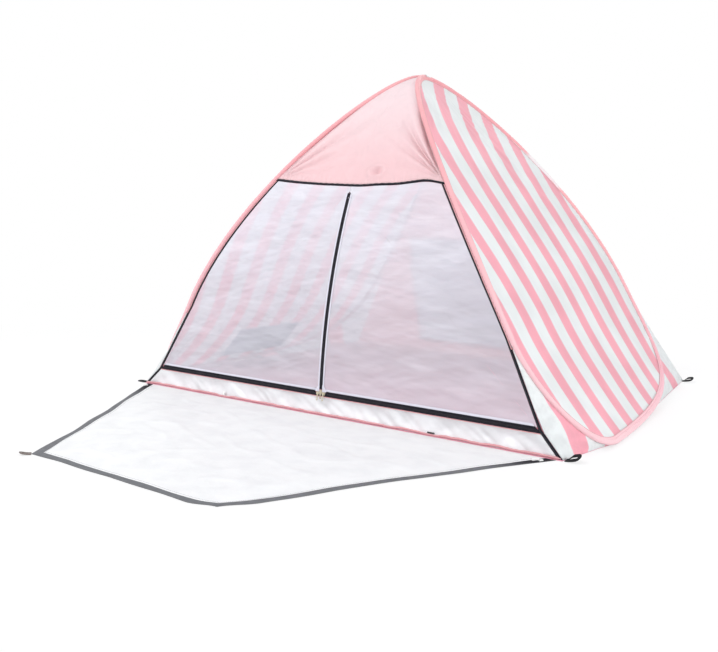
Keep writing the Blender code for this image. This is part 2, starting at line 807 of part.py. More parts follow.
def rear_point(x, z, outward=0.0):
    """A point of the rear wall, or of a piece that lies on its outside."""
    y = rear_edge(z).y
    slope = (rear_edge(z + SHEET).y - rear_edge(max(z - SHEET, FOOT)).y) / (2 * SHEET)
    across = math.sqrt(1 + slope * slope)
    return Vector((x, y + outward * across, z))


def rear_row(half, z, outward=0.0):
    return [rear_point(mix(-half, half, j / WINDOW_COLUMNS), z, outward) for j in range(WINDOW_COLUMNS + 1)]


def make_rear_panel():
    """The rear wall with its window opening."""
    top = next(point.z for point in REAR_RIDGE if rear_edge(point.z).x > SLEEVE_RADIUS / 2)
    levels = rear_levels(FOOT, top)
    rows = []
    for z in levels:
        half = rear_edge(z).x
        window = min(WINDOW_HALF_WIDTH, half * WINDOW_HALF_WIDTH / rear_edge(WINDOW_HIGH).x)
        outer = [mix(-half, -window, k / SIDE_STRIP_COLUMNS) for k in range(SIDE_STRIP_COLUMNS)]
        inner = [mix(-window, window, k / WINDOW_COLUMNS) for k in range(WINDOW_COLUMNS + 1)]
        places = outer + inner + [-x for x in reversed(outer)]
        rows.append([rear_point(x, z) for x in places])
    first = SIDE_STRIP_COLUMNS
    last = SIDE_STRIP_COLUMNS + WINDOW_COLUMNS - 1

    def keep(i, j):
        in_height = levels[i] <= WINDOW_HIGH and levels[i + 1] >= WINDOW_LOW
        return not (in_height and first <= j <= last)

    sheet("rear_panel", rows, SILVER_CLOTH, keep=keep)


def make_rear_window():
    """The window's mesh, the cover outside it and the ring inside it that ties hang on."""
    low = WINDOW_LOW + SEAM_GAP
    high = WINDOW_HIGH - SEAM_GAP
    half = WINDOW_HALF_WIDTH - SEAM_GAP
    rows = [rear_row(half, z) for z in rear_levels(low, high)]
    sheet("rear_window_mesh", rows, DOOR_MESH)

    out = SHEET + SEAM_GAP
    half = WINDOW_HALF_WIDTH + COVER_MARGIN
    rows = [rear_row(half, z, out) for z in rear_levels(COVER_LOW, COVER_HIGH)]
    pivot = pivot_at("window_cover_pivot", rear_point(0, COVER_HIGH, out + SHEET / 2))
    sheet("rear_window_cover", rows, SILVER_CLOTH, pivot)

    seat = rear_point(RING_X, RING_Z, -SHEET / 2 - SEAM_GAP - RING_RADIUS)
    below = rear_point(RING_X, RING_Z - SHEET)
    above = rear_point(RING_X, RING_Z + SHEET)
    up = (above - below).normalized()
    across = Vector((1, 0, 0))
    points = []
    for k in range(RING_POINTS):
        angle = 2 * math.pi * k / RING_POINTS
        aside = across * math.cos(angle) * RING_WIDTH / 2
        points.append(seat + aside + up * math.sin(angle) * RING_HEIGHT / 2)
    data = poly_curve("window_tie_ring", points, RING_RADIUS, 2, closed=True)
    place("window_tie_ring", data, WHITE_PLASTIC)


# Floor

def floor_side():
    """The floor's right edge from front to back: it bulges to the hoop's foot."""
    touching = [point for point in HOOP[FORE_INDEX:REAR_INDEX] if point.z < FLOOR_NEAR_GROUND]
    bulge = [(point.x - EDGE_CLEARANCE, point.y) for point in touching]
    return [(CORNER_X, FRONT_EDGE + SEAM_GAP)] + bulge + [(CORNER_X, REAR_EDGE)]


FLOOR_SIDE = floor_side()


def floor_side_x(y):
    for (x0, y0), (x1, y1) in zip(FLOOR_SIDE, FLOOR_SIDE[1:]):
        if y0 <= y <= y1:
            return mix(x0, x1, (y - y0) / (y1 - y0))
    return CORNER_X


def make_floor():
    outline = FLOOR_SIDE + [(-x, y) for x, y in reversed(FLOOR_SIDE)]
    data = flat_curve("floor_sheet", [outline], SHEET)
    place("floor_sheet", data, FLOOR_CLOTH, Matrix.Translation((0, 0, SHEET / 2)))


# Gussets close the corners between the hoop, the floor's side edge and the end walls

def gusset_foot(k, count, corner_row, indices, wall_edge, wall_top, corner_y):
    """Where row k of a gusset ends: down the end wall's edge, then along the floor's side edge."""
    if k <= corner_row:
        foot = wall_edge(mix(wall_top, FOOT, k / corner_row))
        foot.x += SEAM + SEAM_GAP / 2
        return foot
    still_to_go = (count - k) / (count - corner_row)
    start = corner_y - HOOP[indices[corner_row]].y
    y = HOOP[indices[k]].y + start * still_to_go**GUSSET_EASE
    return Vector((floor_side_x(y) - SHEET, y, FOOT))


def gusset_row(wire, along, foot):
    """A row from beside the sleeve to its foot, and how wide the gusset is there."""
    direction = (foot - wire).normalized()
    crossing = direction.cross(along).length
    first = wire + direction * EDGE_CLEARANCE / max(0.5, crossing)
    width = (foot - first).dot(direction)
    return width, [mix(first, foot, j / (GUSSET_COLUMNS - 1)) for j in range(GUSSET_COLUMNS)]


def gusset_end(wires, feet):
    """The row between two rows where the gusset is just wide enough to show."""
    along = (wires[1] - wires[0]).normalized()
    narrow, wide = 0.0, 1.0
    if gusset_row(wires[0], along, feet[0])[0] > gusset_row(wires[1], along, feet[1])[0]:
        narrow, wide = wide, narrow
    for _ in range(12):
        share = (narrow + wide) / 2
        width, row = gusset_row(mix(*wires, share), along, mix(*feet, share))
        if width < GUSSET_SHORTEST:
            narrow = share
        else:
            wide = share
    return row


def make_gusset(name, side, indices, wall_edge, wall_top, corner_y):
    """A corner sheet that starts and ends where the sleeve comes close to what it is sewn to."""
    count = len(indices) - 1
    corner_row = round(GUSSET_CORNER * count)
    wires = [HOOP[i] for i in indices]
    feet = [
        gusset_foot(k, count, corner_row, indices, wall_edge, wall_top, corner_y)
        for k in range(len(indices))
    ]
    rows = [gusset_row(HOOP[i], hoop_tangent(i), foot) for i, foot in zip(indices, feet)]
    shown = []
    for k in range(count):
        shows = rows[k][0] >= GUSSET_SHORTEST
        if shows:
            shown.append(rows[k][1])
        if shows != (rows[k + 1][0] >= GUSSET_SHORTEST):
            shown.append(gusset_end(wires[k : k + 2], feet[k : k + 2]))
    sheet(name, sided(shown, side), SILVER_CLOTH)


def make_gussets(word, side):
    front = list(range(FORE_INDEX, LOW_INDEX + 1))
    make_gusset(f"{word}_front_gusset", side, front, outer_edge, FORE_Z, FRONT_EDGE + FOOT)
    last = next(i for i in range(REAR_INDEX, LOW_INDEX, -1) if HOOP[i].z < FLOOR_NEAR_GROUND / 2)
    back = list(range(REAR_INDEX, last - 1, -1))
    make_gusset(f"{word}_rear_gusset", side, back, rear_edge, REAR_Z, REAR_FOOT_Y)


# Porch

def porch_half(distance):
    """Half the porch's width at a distance from the floor's edge."""
    return mix(PORCH_REAR_HALF, PORCH_FAR_HALF, distance / PORCH_LENGTH)


PORCH_SLANT = math.hypot(PORCH_REAR_HALF - PORCH_FAR_HALF, PORCH_LENGTH)
PORCH_EDGE_SPREAD = PORCH_SLANT / PORCH_LENGTH
PORCH_HINGE = Vector((0, FRONT_EDGE, SHEET))
PORCH_NEAR = SEAM_GAP


def porch_wave(down, across):
    """The cloth's rise off the ground, none at its edges."""
    fade = math.sin(math.pi * down) * math.sin(math.pi * across)
    turn = 2 * math.pi * PORCH_WAVES * (down + PORCH_WAVE_SLANT * across)
    return PORCH_WAVE * fade * (1 - math.cos(turn)) / 2


def make_porch_sheet(pivot):
    inset = PORCH_TAPE_WIDTH + SEAM_GAP
    far = PORCH_LENGTH - inset
    rows = []
    for i in range(PORCH_ROWS):
        down = i / (PORCH_ROWS - 1)
        distance = mix(PORCH_NEAR, far, down)
        half = porch_half(distance) - inset * PORCH_EDGE_SPREAD
        row = []
        for j in range(PORCH_COLUMNS):
            across = j / (PORCH_COLUMNS - 1)
            x = mix(-half, half, across)
            row.append(Vector((x, FRONT_EDGE - distance, SHEET / 2 + porch_wave(down, across))))
        rows.append(row)
    sheet("porch_sheet", rows, SILVER_CLOTH, pivot)


def make_porch_tape(pivot):
    """The zip tape round the porch's three free edges, one flat piece."""
    near_y = FRONT_EDGE - PORCH_NEAR
    far_y = FRONT_EDGE - PORCH_LENGTH
    inner_near = porch_half(PORCH_NEAR) - PORCH_TAPE_WIDTH * PORCH_EDGE_SPREAD
    inner_far_distance = PORCH_LENGTH - PORCH_TAPE_WIDTH
    inner_far = porch_half(inner_far_distance) - PORCH_TAPE_WIDTH * PORCH_EDGE_SPREAD
    inner_far_y = FRONT_EDGE - inner_far_distance
    outline = [
        (porch_half(PORCH_NEAR), near_y),
        (porch_half(PORCH_LENGTH), far_y),
        (-porch_half(PORCH_LENGTH), far_y),
        (-porch_half(PORCH_NEAR), near_y),
        (-inner_near, near_y),
        (-inner_far, inner_far_y),
        (inner_far, inner_far_y),
        (inner_near, near_y),
    ]
    data = flat_curve("porch_zip_tape", [outline], SHEET)
    place("porch_zip_tape", data, GREY_ZIP, Matrix.Translation((0, 0, SHEET / 2)), pivot)


def make_porch_slider(word, side, pivot):
    """A slider on the porch's tape near the floor, with its pull lying along the edge."""
    edge = Vector(((PORCH_FAR_HALF - PORCH_REAR_HALF) * side, -PORCH_LENGTH, 0)).normalized()
    inward = Vector((edge.y * side, -edge.x * side, 0))
    up = Vector((0, 0, 1))
    start = Vector((PORCH_REAR_HALF * side, FRONT_EDGE, 0)) + edge * PORCH_SLIDER_START
    base = start + inward * SLIDER_WIDTH + up * (SHEET + SEAM_GAP)
    run = pivot_at(f"porch_{word}_slider_pivot", base, pivot)
    half = SLIDER_WIDTH / 2
    shoulder = PLATE * 2
    top = PLATE * 3
    right = [(half, 0), (half, shoulder), (half / 2, top)]
    side_view = right + [(-x, z) for x, z in reversed(right)]
    data = flat_curve(f"porch_{word}_slider", [side_view], SLIDER_LENGTH)
    place(f"porch_{word}_slider", data, WHITE_PLASTIC, facing(base, inward, up), run)
    hinge = base + up * (top + PULL_GAP + PULL_THICKNESS / 2)
    hinge += edge * (SLIDER_LENGTH / 2 - PULL_THICKNESS)
    make_pull(f"porch_{word}_pull", hinge, edge, up, run, WHITE_PLASTIC)


def make_porch():
    """The zip-off flap that lies in front of the door and folds up over it."""
    pivot = pivot_at("porch_pivot", PORCH_HINGE)
    make_porch_sheet(pivot)
    make_porch_tape(pivot)
    corner = Vector((-PORCH_FAR_HALF, FRONT_EDGE - PORCH_LENGTH, 0))
    turn = math.radians(PORCH_LOOP_TURN)
    direction = Vector((-math.sin(turn), -math.cos(turn), 0))
    make_loop("porch_corner_loop", corner, direction, pivot, PORCH_LOOP_LENGTH, PORCH_LOOP_WIDTH)
    for word, side in SIDES:
        make_porch_slider(word, side, pivot)


# Loops, sliders and pulls

def make_loop(name, corner, direction, pivot=None, length=LOOP_LENGTH, width=LOOP_WIDTH):
    """A webbing loop that lies flat and takes a ground peg: straight sides and a round end."""
    half = width / 2
    straight = length - half
    hole_half = half - LOOP_BAND

    def outline(near, radius):
        points = [(near, radius), (near, -radius)]
        for k in range(ARC_POINTS):
            angle = -math.pi / 2 + math.pi * k / (ARC_POINTS - 1)
            points.append((straight + radius * math.cos(angle), radius * math.sin(angle)))
        return points

    data = flat_curve(name, [outline(0, half), outline(LOOP_BAND, hole_half)], LOOP_THICKNESS)
    across = Vector((0, 0, 1)).cross(direction)
    origin = corner + direction * SEAM_GAP + Vector((0, 0, LOOP_THICKNESS / 2))
    matrix = facing(origin, direction, across)
    return place(name, data, BLACK_WEBBING, matrix, pivot)


def make_corner_loops():
    for word, side in SIDES:
        clear = LOOP_WIDTH / 2
        front = Vector((CORNER_X * side, FRONT_EDGE + SEAM_GAP + clear, 0))
        front.x = (floor_side_x(front.y + clear)) * side
        make_loop(f"front_{word}_loop", front, Vector((side, 0, 0)))
        back = Vector((CORNER_X * side, REAR_EDGE - clear, 0))
        back.x = (floor_side_x(back.y - clear)) * side
        make_loop(f"rear_{word}_loop", back, Vector((side, 0, 0)))


def make_pull(name, hinge, along, outward, above, finish):
    """A pull tab on its hinge line, which crosses it just inside its narrow end."""
    half = PULL_WIDTH / 2
    neck = half * PULL_NECK
    near = -PULL_THICKNESS / 2
    far = PULL_LENGTH
    shoulder = far - half
    edge = [(near, neck), (shoulder, half), (far, half / 2)]
    outline = edge + [(x, -y) for x, y in reversed(edge)]
    hole_near = far * PULL_HOLE_START
    hole_half = half * PULL_HOLE_SHARE
    hole = [(hole_near, -hole_half), (shoulder, -hole_half), (shoulder, hole_half), (hole_near, hole_half)]
    data = flat_curve(name, [outline, hole], PULL_THICKNESS)
    pivot = pivot_at(f"{name}_pivot", hinge, above)
    return place(name, data, finish, facing(hinge, along, outward.cross(along)), pivot)


def slider_outline():
    """An I-shaped slider: a plate in front of the tapes, a plate behind and a post between them."""
    half = SLIDER_WIDTH / 2
    post = ZIP_SLIT / 2 - POST_GAP
    near = SHEET / 2 + PLATE_GAP
    far = near + PLATE
    right = [(half, -far), (half, -near), (post, -near), (post, near), (half, near), (half, far)]
    return right + [(-x, -y) for x, y in right]


SLIDER_FACE = SHEET / 2 + PLATE_GAP + PLATE


def make_door_slider(name, middle, along, side_across, wall_up, run):
    """A slider on a zip, and its pull hanging from the front of it."""
    outward = Vector((0, -wall_up.z, wall_up.y))
    data = flat_curve(f"{name}_slider", [slider_outline()], SLIDER_LENGTH)
    place(f"{name}_slider", data, SILVER_METAL, facing(middle, side_across, -outward), run)
    hinge = middle + outward * (SLIDER_FACE + PULL_GAP + PULL_THICKNESS / 2)
    outward_of_pull = Vector((0, -along.z, along.y)) * -1
    make_pull(f"{name}_pull", hinge, along, outward_of_pull, run, SILVER_METAL)


def make_door_sliders():
    """One slider on the centre zip and two on the bottom zip, parked where the zips meet."""
    wall_up = Vector((0, ZIP_SLOPE, 1)).normalized()
    across = Vector((1, 0, 0))
    park = ZIP_LINE - ZIP_SLIT / 2 + SEAM_GAP + SLIDER_LENGTH / 2
    run = pivot_at("centre_slider_pivot", ARC_CENTRE)
    make_door_slider("centre", Vector((0, low_y(park), park)), -wall_up, across, wall_up, run)
    # The pulls of the bottom zip hang as steeply as the sill that they lie on
    sill_down = Vector((0, SILL_FOOT_Y - low_y(LOWER_TAPE_LOW), FOOT - LOWER_TAPE_LOW)).normalized()
    for word, side in SIDES:
        x = SLIDER_WIDTH / 2 + SLIDER_SPACING + SLIDER_LENGTH / 2
        middle = Vector((x * side, low_y(ZIP_LINE), ZIP_LINE))
        run = pivot_at(f"bottom_{word}_slider_pivot", middle)
        make_door_slider(f"bottom_{word}", middle, sill_down, wall_up, wall_up, run)


def make_toggle():
    """The porch's toggle, lying on the piping against the sill."""
    z = SHEET + 2 * SEAM_GAP + 2 * PIPING_RADIUS + TIE_RADIUS
    y = low_y(z) - SHEET / 2 - SEAM_GAP - SILL_WAVE - TIE_RADIUS
    build = bmesh.new()
    bmesh.ops.create_cone(
        build, cap_ends=True, segments=12, radius1=TIE_RADIUS, radius2=TIE_RADIUS, depth=TIE_LENGTH
    )
    mesh = bpy.data.meshes.new("right_porch_toggle")
    build.to_mesh(mesh)
    build.free()
    matrix = Matrix.Translation((TIE_X, y, z)) @ Matrix.Rotation(math.pi / 2, 4, "Y")
    toggle = place("right_porch_toggle", mesh, BLACK_PLASTIC, matrix)
    rounding = toggle.modifiers.new("rounding", "BEVEL")
    rounding.width = TIE_RADIUS / 3
    rounding.segments = 2
    rounding.limit_method = "ANGLE"


def make_tab():
    """The porch's cloth tab, from the sill down to the middle of the piping."""
    seat_z = SHEET + 2 * SEAM_GAP + 2 * PIPING_RADIUS
    high = seat_z + TIE_RADIUS + TIE_LENGTH / 2
    seat = Vector((-TIE_X, FRONT_EDGE + SEAM_GAP + PIPING_RADIUS, seat_z))
    crown = Vector((-TIE_X, low_y(high) - SHEET - SEAM_GAP - SILL_WAVE, high))
    half = Vector((TIE_LENGTH / 4, 0, 0))
    rows = [[middle - half, middle + half] for middle in (crown, mix(crown, seat, 0.5), seat)]
    sheet("left_porch_tab", rows, WHITE_TAPE)


def main():
    clear_scene()
    make_floor()
    make_piping()
    make_sill()
    make_hood()
    make_opening_tapes()
    make_rear_panel()
    make_rear_window()
    make_apex_patch()
    make_pocket()
    make_corner_loops()
    make_toggle()
    make_tab()
    for word, side in SIDES:
        make_hoop(word, side)
        make_side_panel(word, side)
        make_gussets(word, side)
        make_fixed_mesh(word, side)
        make_door_leaf(word, side)
    make_door_sliders()
    make_porch()


main()
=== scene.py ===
"""Dresses the packed pop-up beach tent in its cloth, net, zips and webbing, on a plain pale stage."""

import math
import random

import bmesh
import bpy
import numpy as np
from bpy.props import FloatProperty, FloatVectorProperty, PointerProperty
from mathutils import Matrix, Vector, noise
from mathutils.geometry import interpolate_bezier


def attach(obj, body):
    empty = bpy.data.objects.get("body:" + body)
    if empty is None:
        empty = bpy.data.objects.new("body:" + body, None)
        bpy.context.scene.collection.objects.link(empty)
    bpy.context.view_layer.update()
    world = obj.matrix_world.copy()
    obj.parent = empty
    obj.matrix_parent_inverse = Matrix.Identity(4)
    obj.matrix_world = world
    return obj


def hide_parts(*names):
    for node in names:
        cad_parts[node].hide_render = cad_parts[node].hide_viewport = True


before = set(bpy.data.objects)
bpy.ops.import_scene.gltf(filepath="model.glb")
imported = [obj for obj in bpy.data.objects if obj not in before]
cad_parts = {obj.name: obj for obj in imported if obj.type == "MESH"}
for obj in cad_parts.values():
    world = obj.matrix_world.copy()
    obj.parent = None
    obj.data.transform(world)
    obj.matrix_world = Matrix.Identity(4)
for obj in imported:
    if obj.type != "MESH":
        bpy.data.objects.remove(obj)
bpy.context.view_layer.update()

bl_info = {
    "name": "Beach tent dressing",
    "version": (1, 0, 0),
    "blender": (4, 5, 0),
    "location": "3D View > Sidebar > Tent",
    "description": "Cloth, net, zips and webbing for a pop-up beach tent, with its stage",
    "category": "Object",
}

# Sizes that the tent's solids are made from
FLOOR_WIDTH = 1.65
FLOOR_DEPTH = 1.46
PEAK_HEIGHT = 1.170
SHEET = 0.001
SEAM_GAP = 0.0004
SLEEVE_RADIUS = 0.008
PIPING_RADIUS = 0.003
PEAK_Y = -0.095
FORE_X = 0.640
FORE_SETBACK = 0.055
FORE_Z = 0.310
LOW_OVERHANG = 0.065
LOW_Y = -0.440
REAR_X = 0.590
REAR_SETBACK = 0.140
REAR_Z = 0.405
PEAK_FRONT_REACH = 0.205
PEAK_REAR_REACH = 0.345
FORE_UPPER_REACH = 0.480
FORE_LOWER_REACH = 0.160
LOW_FRONT_REACH = 0.210
LOW_REAR_REACH = 0.865
REAR_LOWER_REACH = 0.380
REAR_UPPER_REACH = 0.440
FORE_LEAN = 0.52
REAR_LEAN = 0.57
DOOR_TOP = 0.742
TOP_TAPE_WIDTH = 0.010
SIDE_TAPE_WIDTH = 0.009
ZIP_TAPE_WIDTH = 0.0085
ZIP_SLIT = 0.002
ZIP_LINE = 0.0695
ZIP_SETBACK = 0.020
CENTRE_ZIP_DROP = 0.017
DOOR_BOW = 0.030
DOOR_FOOT_INSET = 0.068
NOTCH_HALF_WIDTH = 0.021
WINDOW_HALF_WIDTH = 0.420
WINDOW_LOW = 0.060
WINDOW_HIGH = 0.555
COVER_MARGIN = 0.015
PORCH_LENGTH = 0.820
PORCH_REAR_HALF = 0.808
PORCH_FAR_HALF = 0.325
PORCH_TAPE_WIDTH = 0.026
SLIDER_LENGTH = 0.012
SLIDER_SPACING = 0.0008
POCKET_FRONT_Y = -0.290
POCKET_REAR_Y = 0.110
POCKET_LOW = 0.045
POCKET_HIGH = 0.170
TIE_X = 0.420
PATCH_LENGTH = 0.030
GUSSET_CORNER = 0.45
GUSSET_EASE = 3
GUSSET_SHORTEST = 0.003
FLOOR_NEAR_GROUND = 0.030

# How many points the solids' hoop has in each of its four runs, and how much finer it is here
FORE_STEPS = 17
LOW_STEPS = 11
REAR_STEPS = 15
PEAK_STEPS = 15
FINER = 8

FRONT_EDGE = -FLOOR_DEPTH / 2
REAR_EDGE = FLOOR_DEPTH / 2
CORNER_X = FLOOR_WIDTH / 2
EDGE_CLEARANCE = SLEEVE_RADIUS + SEAM_GAP
SEAM = SHEET / 2 + SEAM_GAP
FOOT = SHEET + SEAM
CENTRE_ZIP_TOP = DOOR_TOP - CENTRE_ZIP_DROP
SIDES = (("left", -1), ("right", 1))
ROOT = "tent"
FORWARD = Vector((0, -1, 0))
BACKWARD = Vector((0, 1, 0))
UPWARD = Vector((0, 0, 1))
RIGHTWARD = Vector((1, 0, 0))

# Cloth here is a little thinner than its solid, so that it stays inside it
CLOTH = 0.0008
BINDING = 0.0006
BACKING = 0.0004
# How far below the peak the hood and the rear wall begin
PEAK_MARGIN = 0.0012
# Spacing of the ribs in zip tape and in webbing, and of the holes in the net
TAPE_RIB = 0.0016
WEBBING_RIB = 0.0018
NET_HOLE = 0.0022
# How wide and high the teeth are: the door's zips, the opening's and the porch's
DOOR_TEETH = (0.0011, 0.0007)
OPENING_TEETH = (0.0022, 0.0012)
PORCH_TEETH = (0.0025, 0.0006)
OFF_WHITE = (0.86, 0.86, 0.85)
WEBBING_BLACK = (0.008, 0.008, 0.010)


# Sizes and colours that a user would change

def length(name, description, default):
    return FloatProperty(name=name, description=description, default=default, unit="LENGTH", precision=4)


def colour(name, description, default):
    return FloatVectorProperty(
        name=name, description=description, default=default, subtype="COLOR", size=3, min=0.0, max=1.0
    )


class TentShape(bpy.types.PropertyGroup):
    """How deep the tent's folds, puckers and slack are."""

    hood_fold: length("Hood fold", "Height of the creases at the hood's lower corners", 0.0110)
    wall_slack: length("Wall slack", "How far the striped walls roll out of their flat shape", 0.0025)
    edge_pucker: length("Edge pucker", "Height of the puckers where a wall is sewn to its sleeve", 0.0014)
    sleeve_pucker: length("Sleeve pucker", "Height of the rings that the hoop's sleeve gathers in", 0.0008)
    net_slack: length("Net slack", "Height of the slack wrinkles in the net door", 0.0044)
    sill_fold: length("Sill fold", "Depth of the soft folds in the sill", 0.0135)
    porch_fold: length("Porch fold", "Height of the porch's waves on the ground", 0.0060)
    tape_sway: length("Porch tape sway", "How far the porch's edge wanders from a straight line", 0.0110)
    thread: length("Thread", "Spacing of the cloth's threads", 0.0009)
    tooth: length("Zip tooth", "Spacing of the zips' teeth", 0.0024)


class TentColours(bpy.types.PropertyGroup):
    """The colours of the tent's cloth, net, zips and trim."""

    pink: colour("Pink", "Rear wall and sleeves", (0.90, 0.50, 0.53))
    hood: colour("Hood", "The hood above the door", (0.95, 0.70, 0.72))
    # Paler pink painted in towards the hood's peak: a painted highlight.
    pale_pink: colour("Pale pink", "The hood near the peak", (0.97, 0.88, 0.90))
    stripe_pink: colour("Stripe pink", "Pink stripes", (0.95, 0.47, 0.55))
    stripe_white: colour("Stripe white", "White stripes", (0.88, 0.92, 0.92))
    silver: colour("Silver", "Sill and window cover", (0.93, 0.94, 0.96))
    porch: colour("Porch", "Porch cloth", (0.95, 0.96, 0.97))
    floor: colour("Floor", "The floor inside", (0.92, 0.42, 0.54))
    cover: colour("Window cover", "The cover behind the rear window", (0.90, 0.93, 0.935))
    net: colour("Net", "Door and window net", (0.88, 0.89, 1.0))
    binding: colour("Binding", "Strips beside the door's zips", (0.72, 0.71, 0.80))
    zip_black: colour("Zip", "The door's zips and the opening's edge", (0.012, 0.011, 0.017))
    zip_grey: colour("Porch zip", "The tape round the porch", (0.15, 0.155, 0.165))
    pocket: colour("Pocket", "The pocket on the left wall", (0.27, 0.31, 0.42))


class StageLook(bpy.types.PropertyGroup):
    """The stage's floor and lamps."""

    floor: colour("Floor", "The pale floor", (0.90, 0.90, 0.90))
    sky: FloatProperty(name="Sky", description="Even light from all round", default=0.68, min=0.0)
    key: FloatProperty(name="Key lamp", description="Power of the large lamp", default=112.0, subtype="POWER")
    back: FloatProperty(name="Back lamp", description="Power of the lamp behind", default=85.0, subtype="POWER")
    fill: FloatProperty(name="Fill lamp", description="Power of the low front lamp", default=72.0, subtype="POWER")


# Shader maths

class Term:
    """A number that varies over a surface: arithmetic on it adds Math nodes."""

    def __init__(self, finish, socket):
        self.finish = finish
        self.socket = socket

    def worked(self, operation, *values):
        node = self.finish.add("ShaderNodeMath", {"operation": operation}, dict(enumerate(values)))
        return Term(self.finish, node.outputs[0])

    def __add__(self, other):
        return self.worked("ADD", self, other)

    def __radd__(self, other):
        return self.worked("ADD", other, self)

    def __sub__(self, other):
        return self.worked("SUBTRACT", self, other)

    def __rsub__(self, other):
        return self.worked("SUBTRACT", other, self)

    def __mul__(self, other):
        return self.worked("MULTIPLY", self, other)

    def __rmul__(self, other):
        return self.worked("MULTIPLY", other, self)

    def __truediv__(self, other):
        return self.worked("DIVIDE", self, other)

    def __rtruediv__(self, other):
        return self.worked("DIVIDE", other, self)

    def sine(self):
        return self.worked("SINE", self)

    def fraction(self):
        return self.worked("FRACT", self)

    def size(self):
        return self.worked("ABSOLUTE", self)

    def rise(self, low, high):
        """0 below low, 1 above high, and smooth between them."""
        sockets = {"Value": self, "From Min": low, "From Max": high}
        node = self.finish.add("ShaderNodeMapRange", {"interpolation_type": "SMOOTHSTEP"}, sockets)
        return Term(self.finish, node.outputs[0])


class Nodes:
    """A node tree, built up node by node."""

    def __init__(self, tree):
        self.nodes = tree.nodes
        self.links = tree.links

    def feed(self, socket, value):
        if isinstance(value, Term):
            value = value.socket
        if isinstance(value, bpy.types.NodeSocket):
            self.links.new(value, socket)
        else:
            socket.default_value = value

    def add(self, kind, settings=None, sockets=None):
        """A node of any kind: its settings first, then values or links for its sockets."""
        node = self.nodes.new(kind)
        for name, value in (settings or {}).items():
            if name == "stops":
                ramp = node.color_ramp
                while len(ramp.elements) < len(value):
                    ramp.elements.new(1.0)
                for stop, (place, shade) in zip(ramp.elements, value):
                    stop.position = place
                    stop.color = (*shade, 1.0)
            else:
                setattr(node, name, value)
        for name, value in (sockets or {}).items():
            self.feed(node.inputs[name], value)
        return node

    def mix_shader(self, share, first, second):
        return self.add("ShaderNodeMixShader", None, {0: share, 1: first, 2: second}).outputs[0]

    def direct(self):
        """1 where the camera, a gloss or a clear part looks, and 0 for light that was scattered."""
        path = self.add("ShaderNodeLightPath").outputs
        shown = Term(self, path["Is Camera Ray"])
        for kind in ("Is Glossy Ray", "Is Transmission Ray"):
            shown = shown.worked("MAXIMUM", shown, path[kind])
        return shown


class Finish(Nodes):
    """A material with one main shader."""

    def __init__(self, name, base, roughness, **constants):
        self.made = bpy.data.materials.new(name)
        self.made.use_nodes = True
        super().__init__(self.made.node_tree)
        self.shader = self.nodes["Principled BSDF"]
        self.surface = self.nodes["Material Output"].inputs["Surface"]
        self.made.diffuse_color = (*base, 1.0)
        self.paint((*base, 1.0))
        self.roughen(roughness)
        for socket, value in constants.items():
            self.feed(self.shader.inputs[socket.replace("_", " ")], value)

    def paint(self, shade):
        self.feed(self.shader.inputs["Base Color"], shade)

    def roughen(self, term):
        self.feed(self.shader.inputs["Roughness"], term)

    def position(self):
        return self.add("ShaderNodeTexCoord").outputs["Object"]

    def along(self, direction):
        """How far a point is along a direction, in metres."""
        sockets = {0: self.position(), 1: tuple(direction)}
        node = self.add("ShaderNodeVectorMath", {"operation": "DOT_PRODUCT"}, sockets)
        return Term(self, node.outputs["Value"])

    def noise(self, place, scale, detail):
        sockets = {"Vector": place, "Scale": scale, "Detail": detail}
        return Term(self, self.add("ShaderNodeTexNoise", None, sockets).outputs[0])

    def grain(self, size, detail=2.0, stretch=(1, 1, 1)):
        """Cloudy variation from 0 to 1, whose patches are about size across."""
        sockets = {0: self.position(), 1: tuple(stretch)}
        place = self.add("ShaderNodeVectorMath", {"operation": "MULTIPLY"}, sockets).outputs[0]
        return self.noise(place, 1 / size, detail)

    def streaks(self, size, longer, slant):
        """Cloudy variation drawn out along a slanting direction."""
        run = self.along((math.cos(slant), 0, math.sin(slant))) / (size * longer)
        over = self.along((-math.sin(slant), 0, math.cos(slant))) / size
        place = self.add("ShaderNodeCombineXYZ", None, {0: run, 1: over}).outputs[0]
        return self.noise(place, 1.0, 2.0)

    def ribs(self, direction, spacing):
        """Waves from -1 to 1 along a direction, as in ribbed tape."""
        return (self.along(direction) * (math.tau / spacing)).sine()

    def mixed(self, share, first, second):
        """A colour between two colours."""
        first, second = (x if isinstance(x, bpy.types.NodeSocket) else (*x, 1.0) for x in (first, second))
        settings = {"data_type": "RGBA"}
        return self.add("ShaderNodeMix", settings, {0: share, 6: first, 7: second}).outputs[2]

    def emboss(self, height, depth, strength=1.0):
        """A bump on top of any that is already there."""
        sockets = {"Height": height, "Distance": depth, "Strength": strength}
        node = self.add("ShaderNodeBump", None, sockets)
        before = self.shader.inputs["Normal"]
        if before.is_linked:
            self.feed(node.inputs["Normal"], before.links[0].from_socket)
        self.feed(before, node.outputs["Normal"])

    def translucent(self, shade):
        return self.add("ShaderNodeBsdfTranslucent", None, {"Color": (*shade, 1.0)}).outputs[0]

    def let_light_through(self, share, shade, second=None, mask=None):
        """Thin cloth also glows with the light behind it, in one shade or in two."""
        glow = self.translucent(shade)
        if second is not None:
            glow = self.mix_shader(mask, glow, self.translucent(second))
        self.feed(self.surface, self.mix_shader(share, self.shader.outputs[0], glow))


def weave(finish, across, up, thread, depth=0.00012):
    """Plain weave: threads along two directions, over and under each other."""
    finish.emboss(finish.ribs(across, 2 * thread) * finish.ribs(up, 2 * thread), depth, 0.35)


def crinkle(finish, size, depth, stretch=(1, 1, 1)):
    """Small soft creases between the modelled ones."""
    finish.emboss(finish.grain(size, 3.0, stretch), depth, 0.6)


def shaded(base, factor):
    return tuple(min(1.0, part * factor) for part in base)


FINISHES = {}


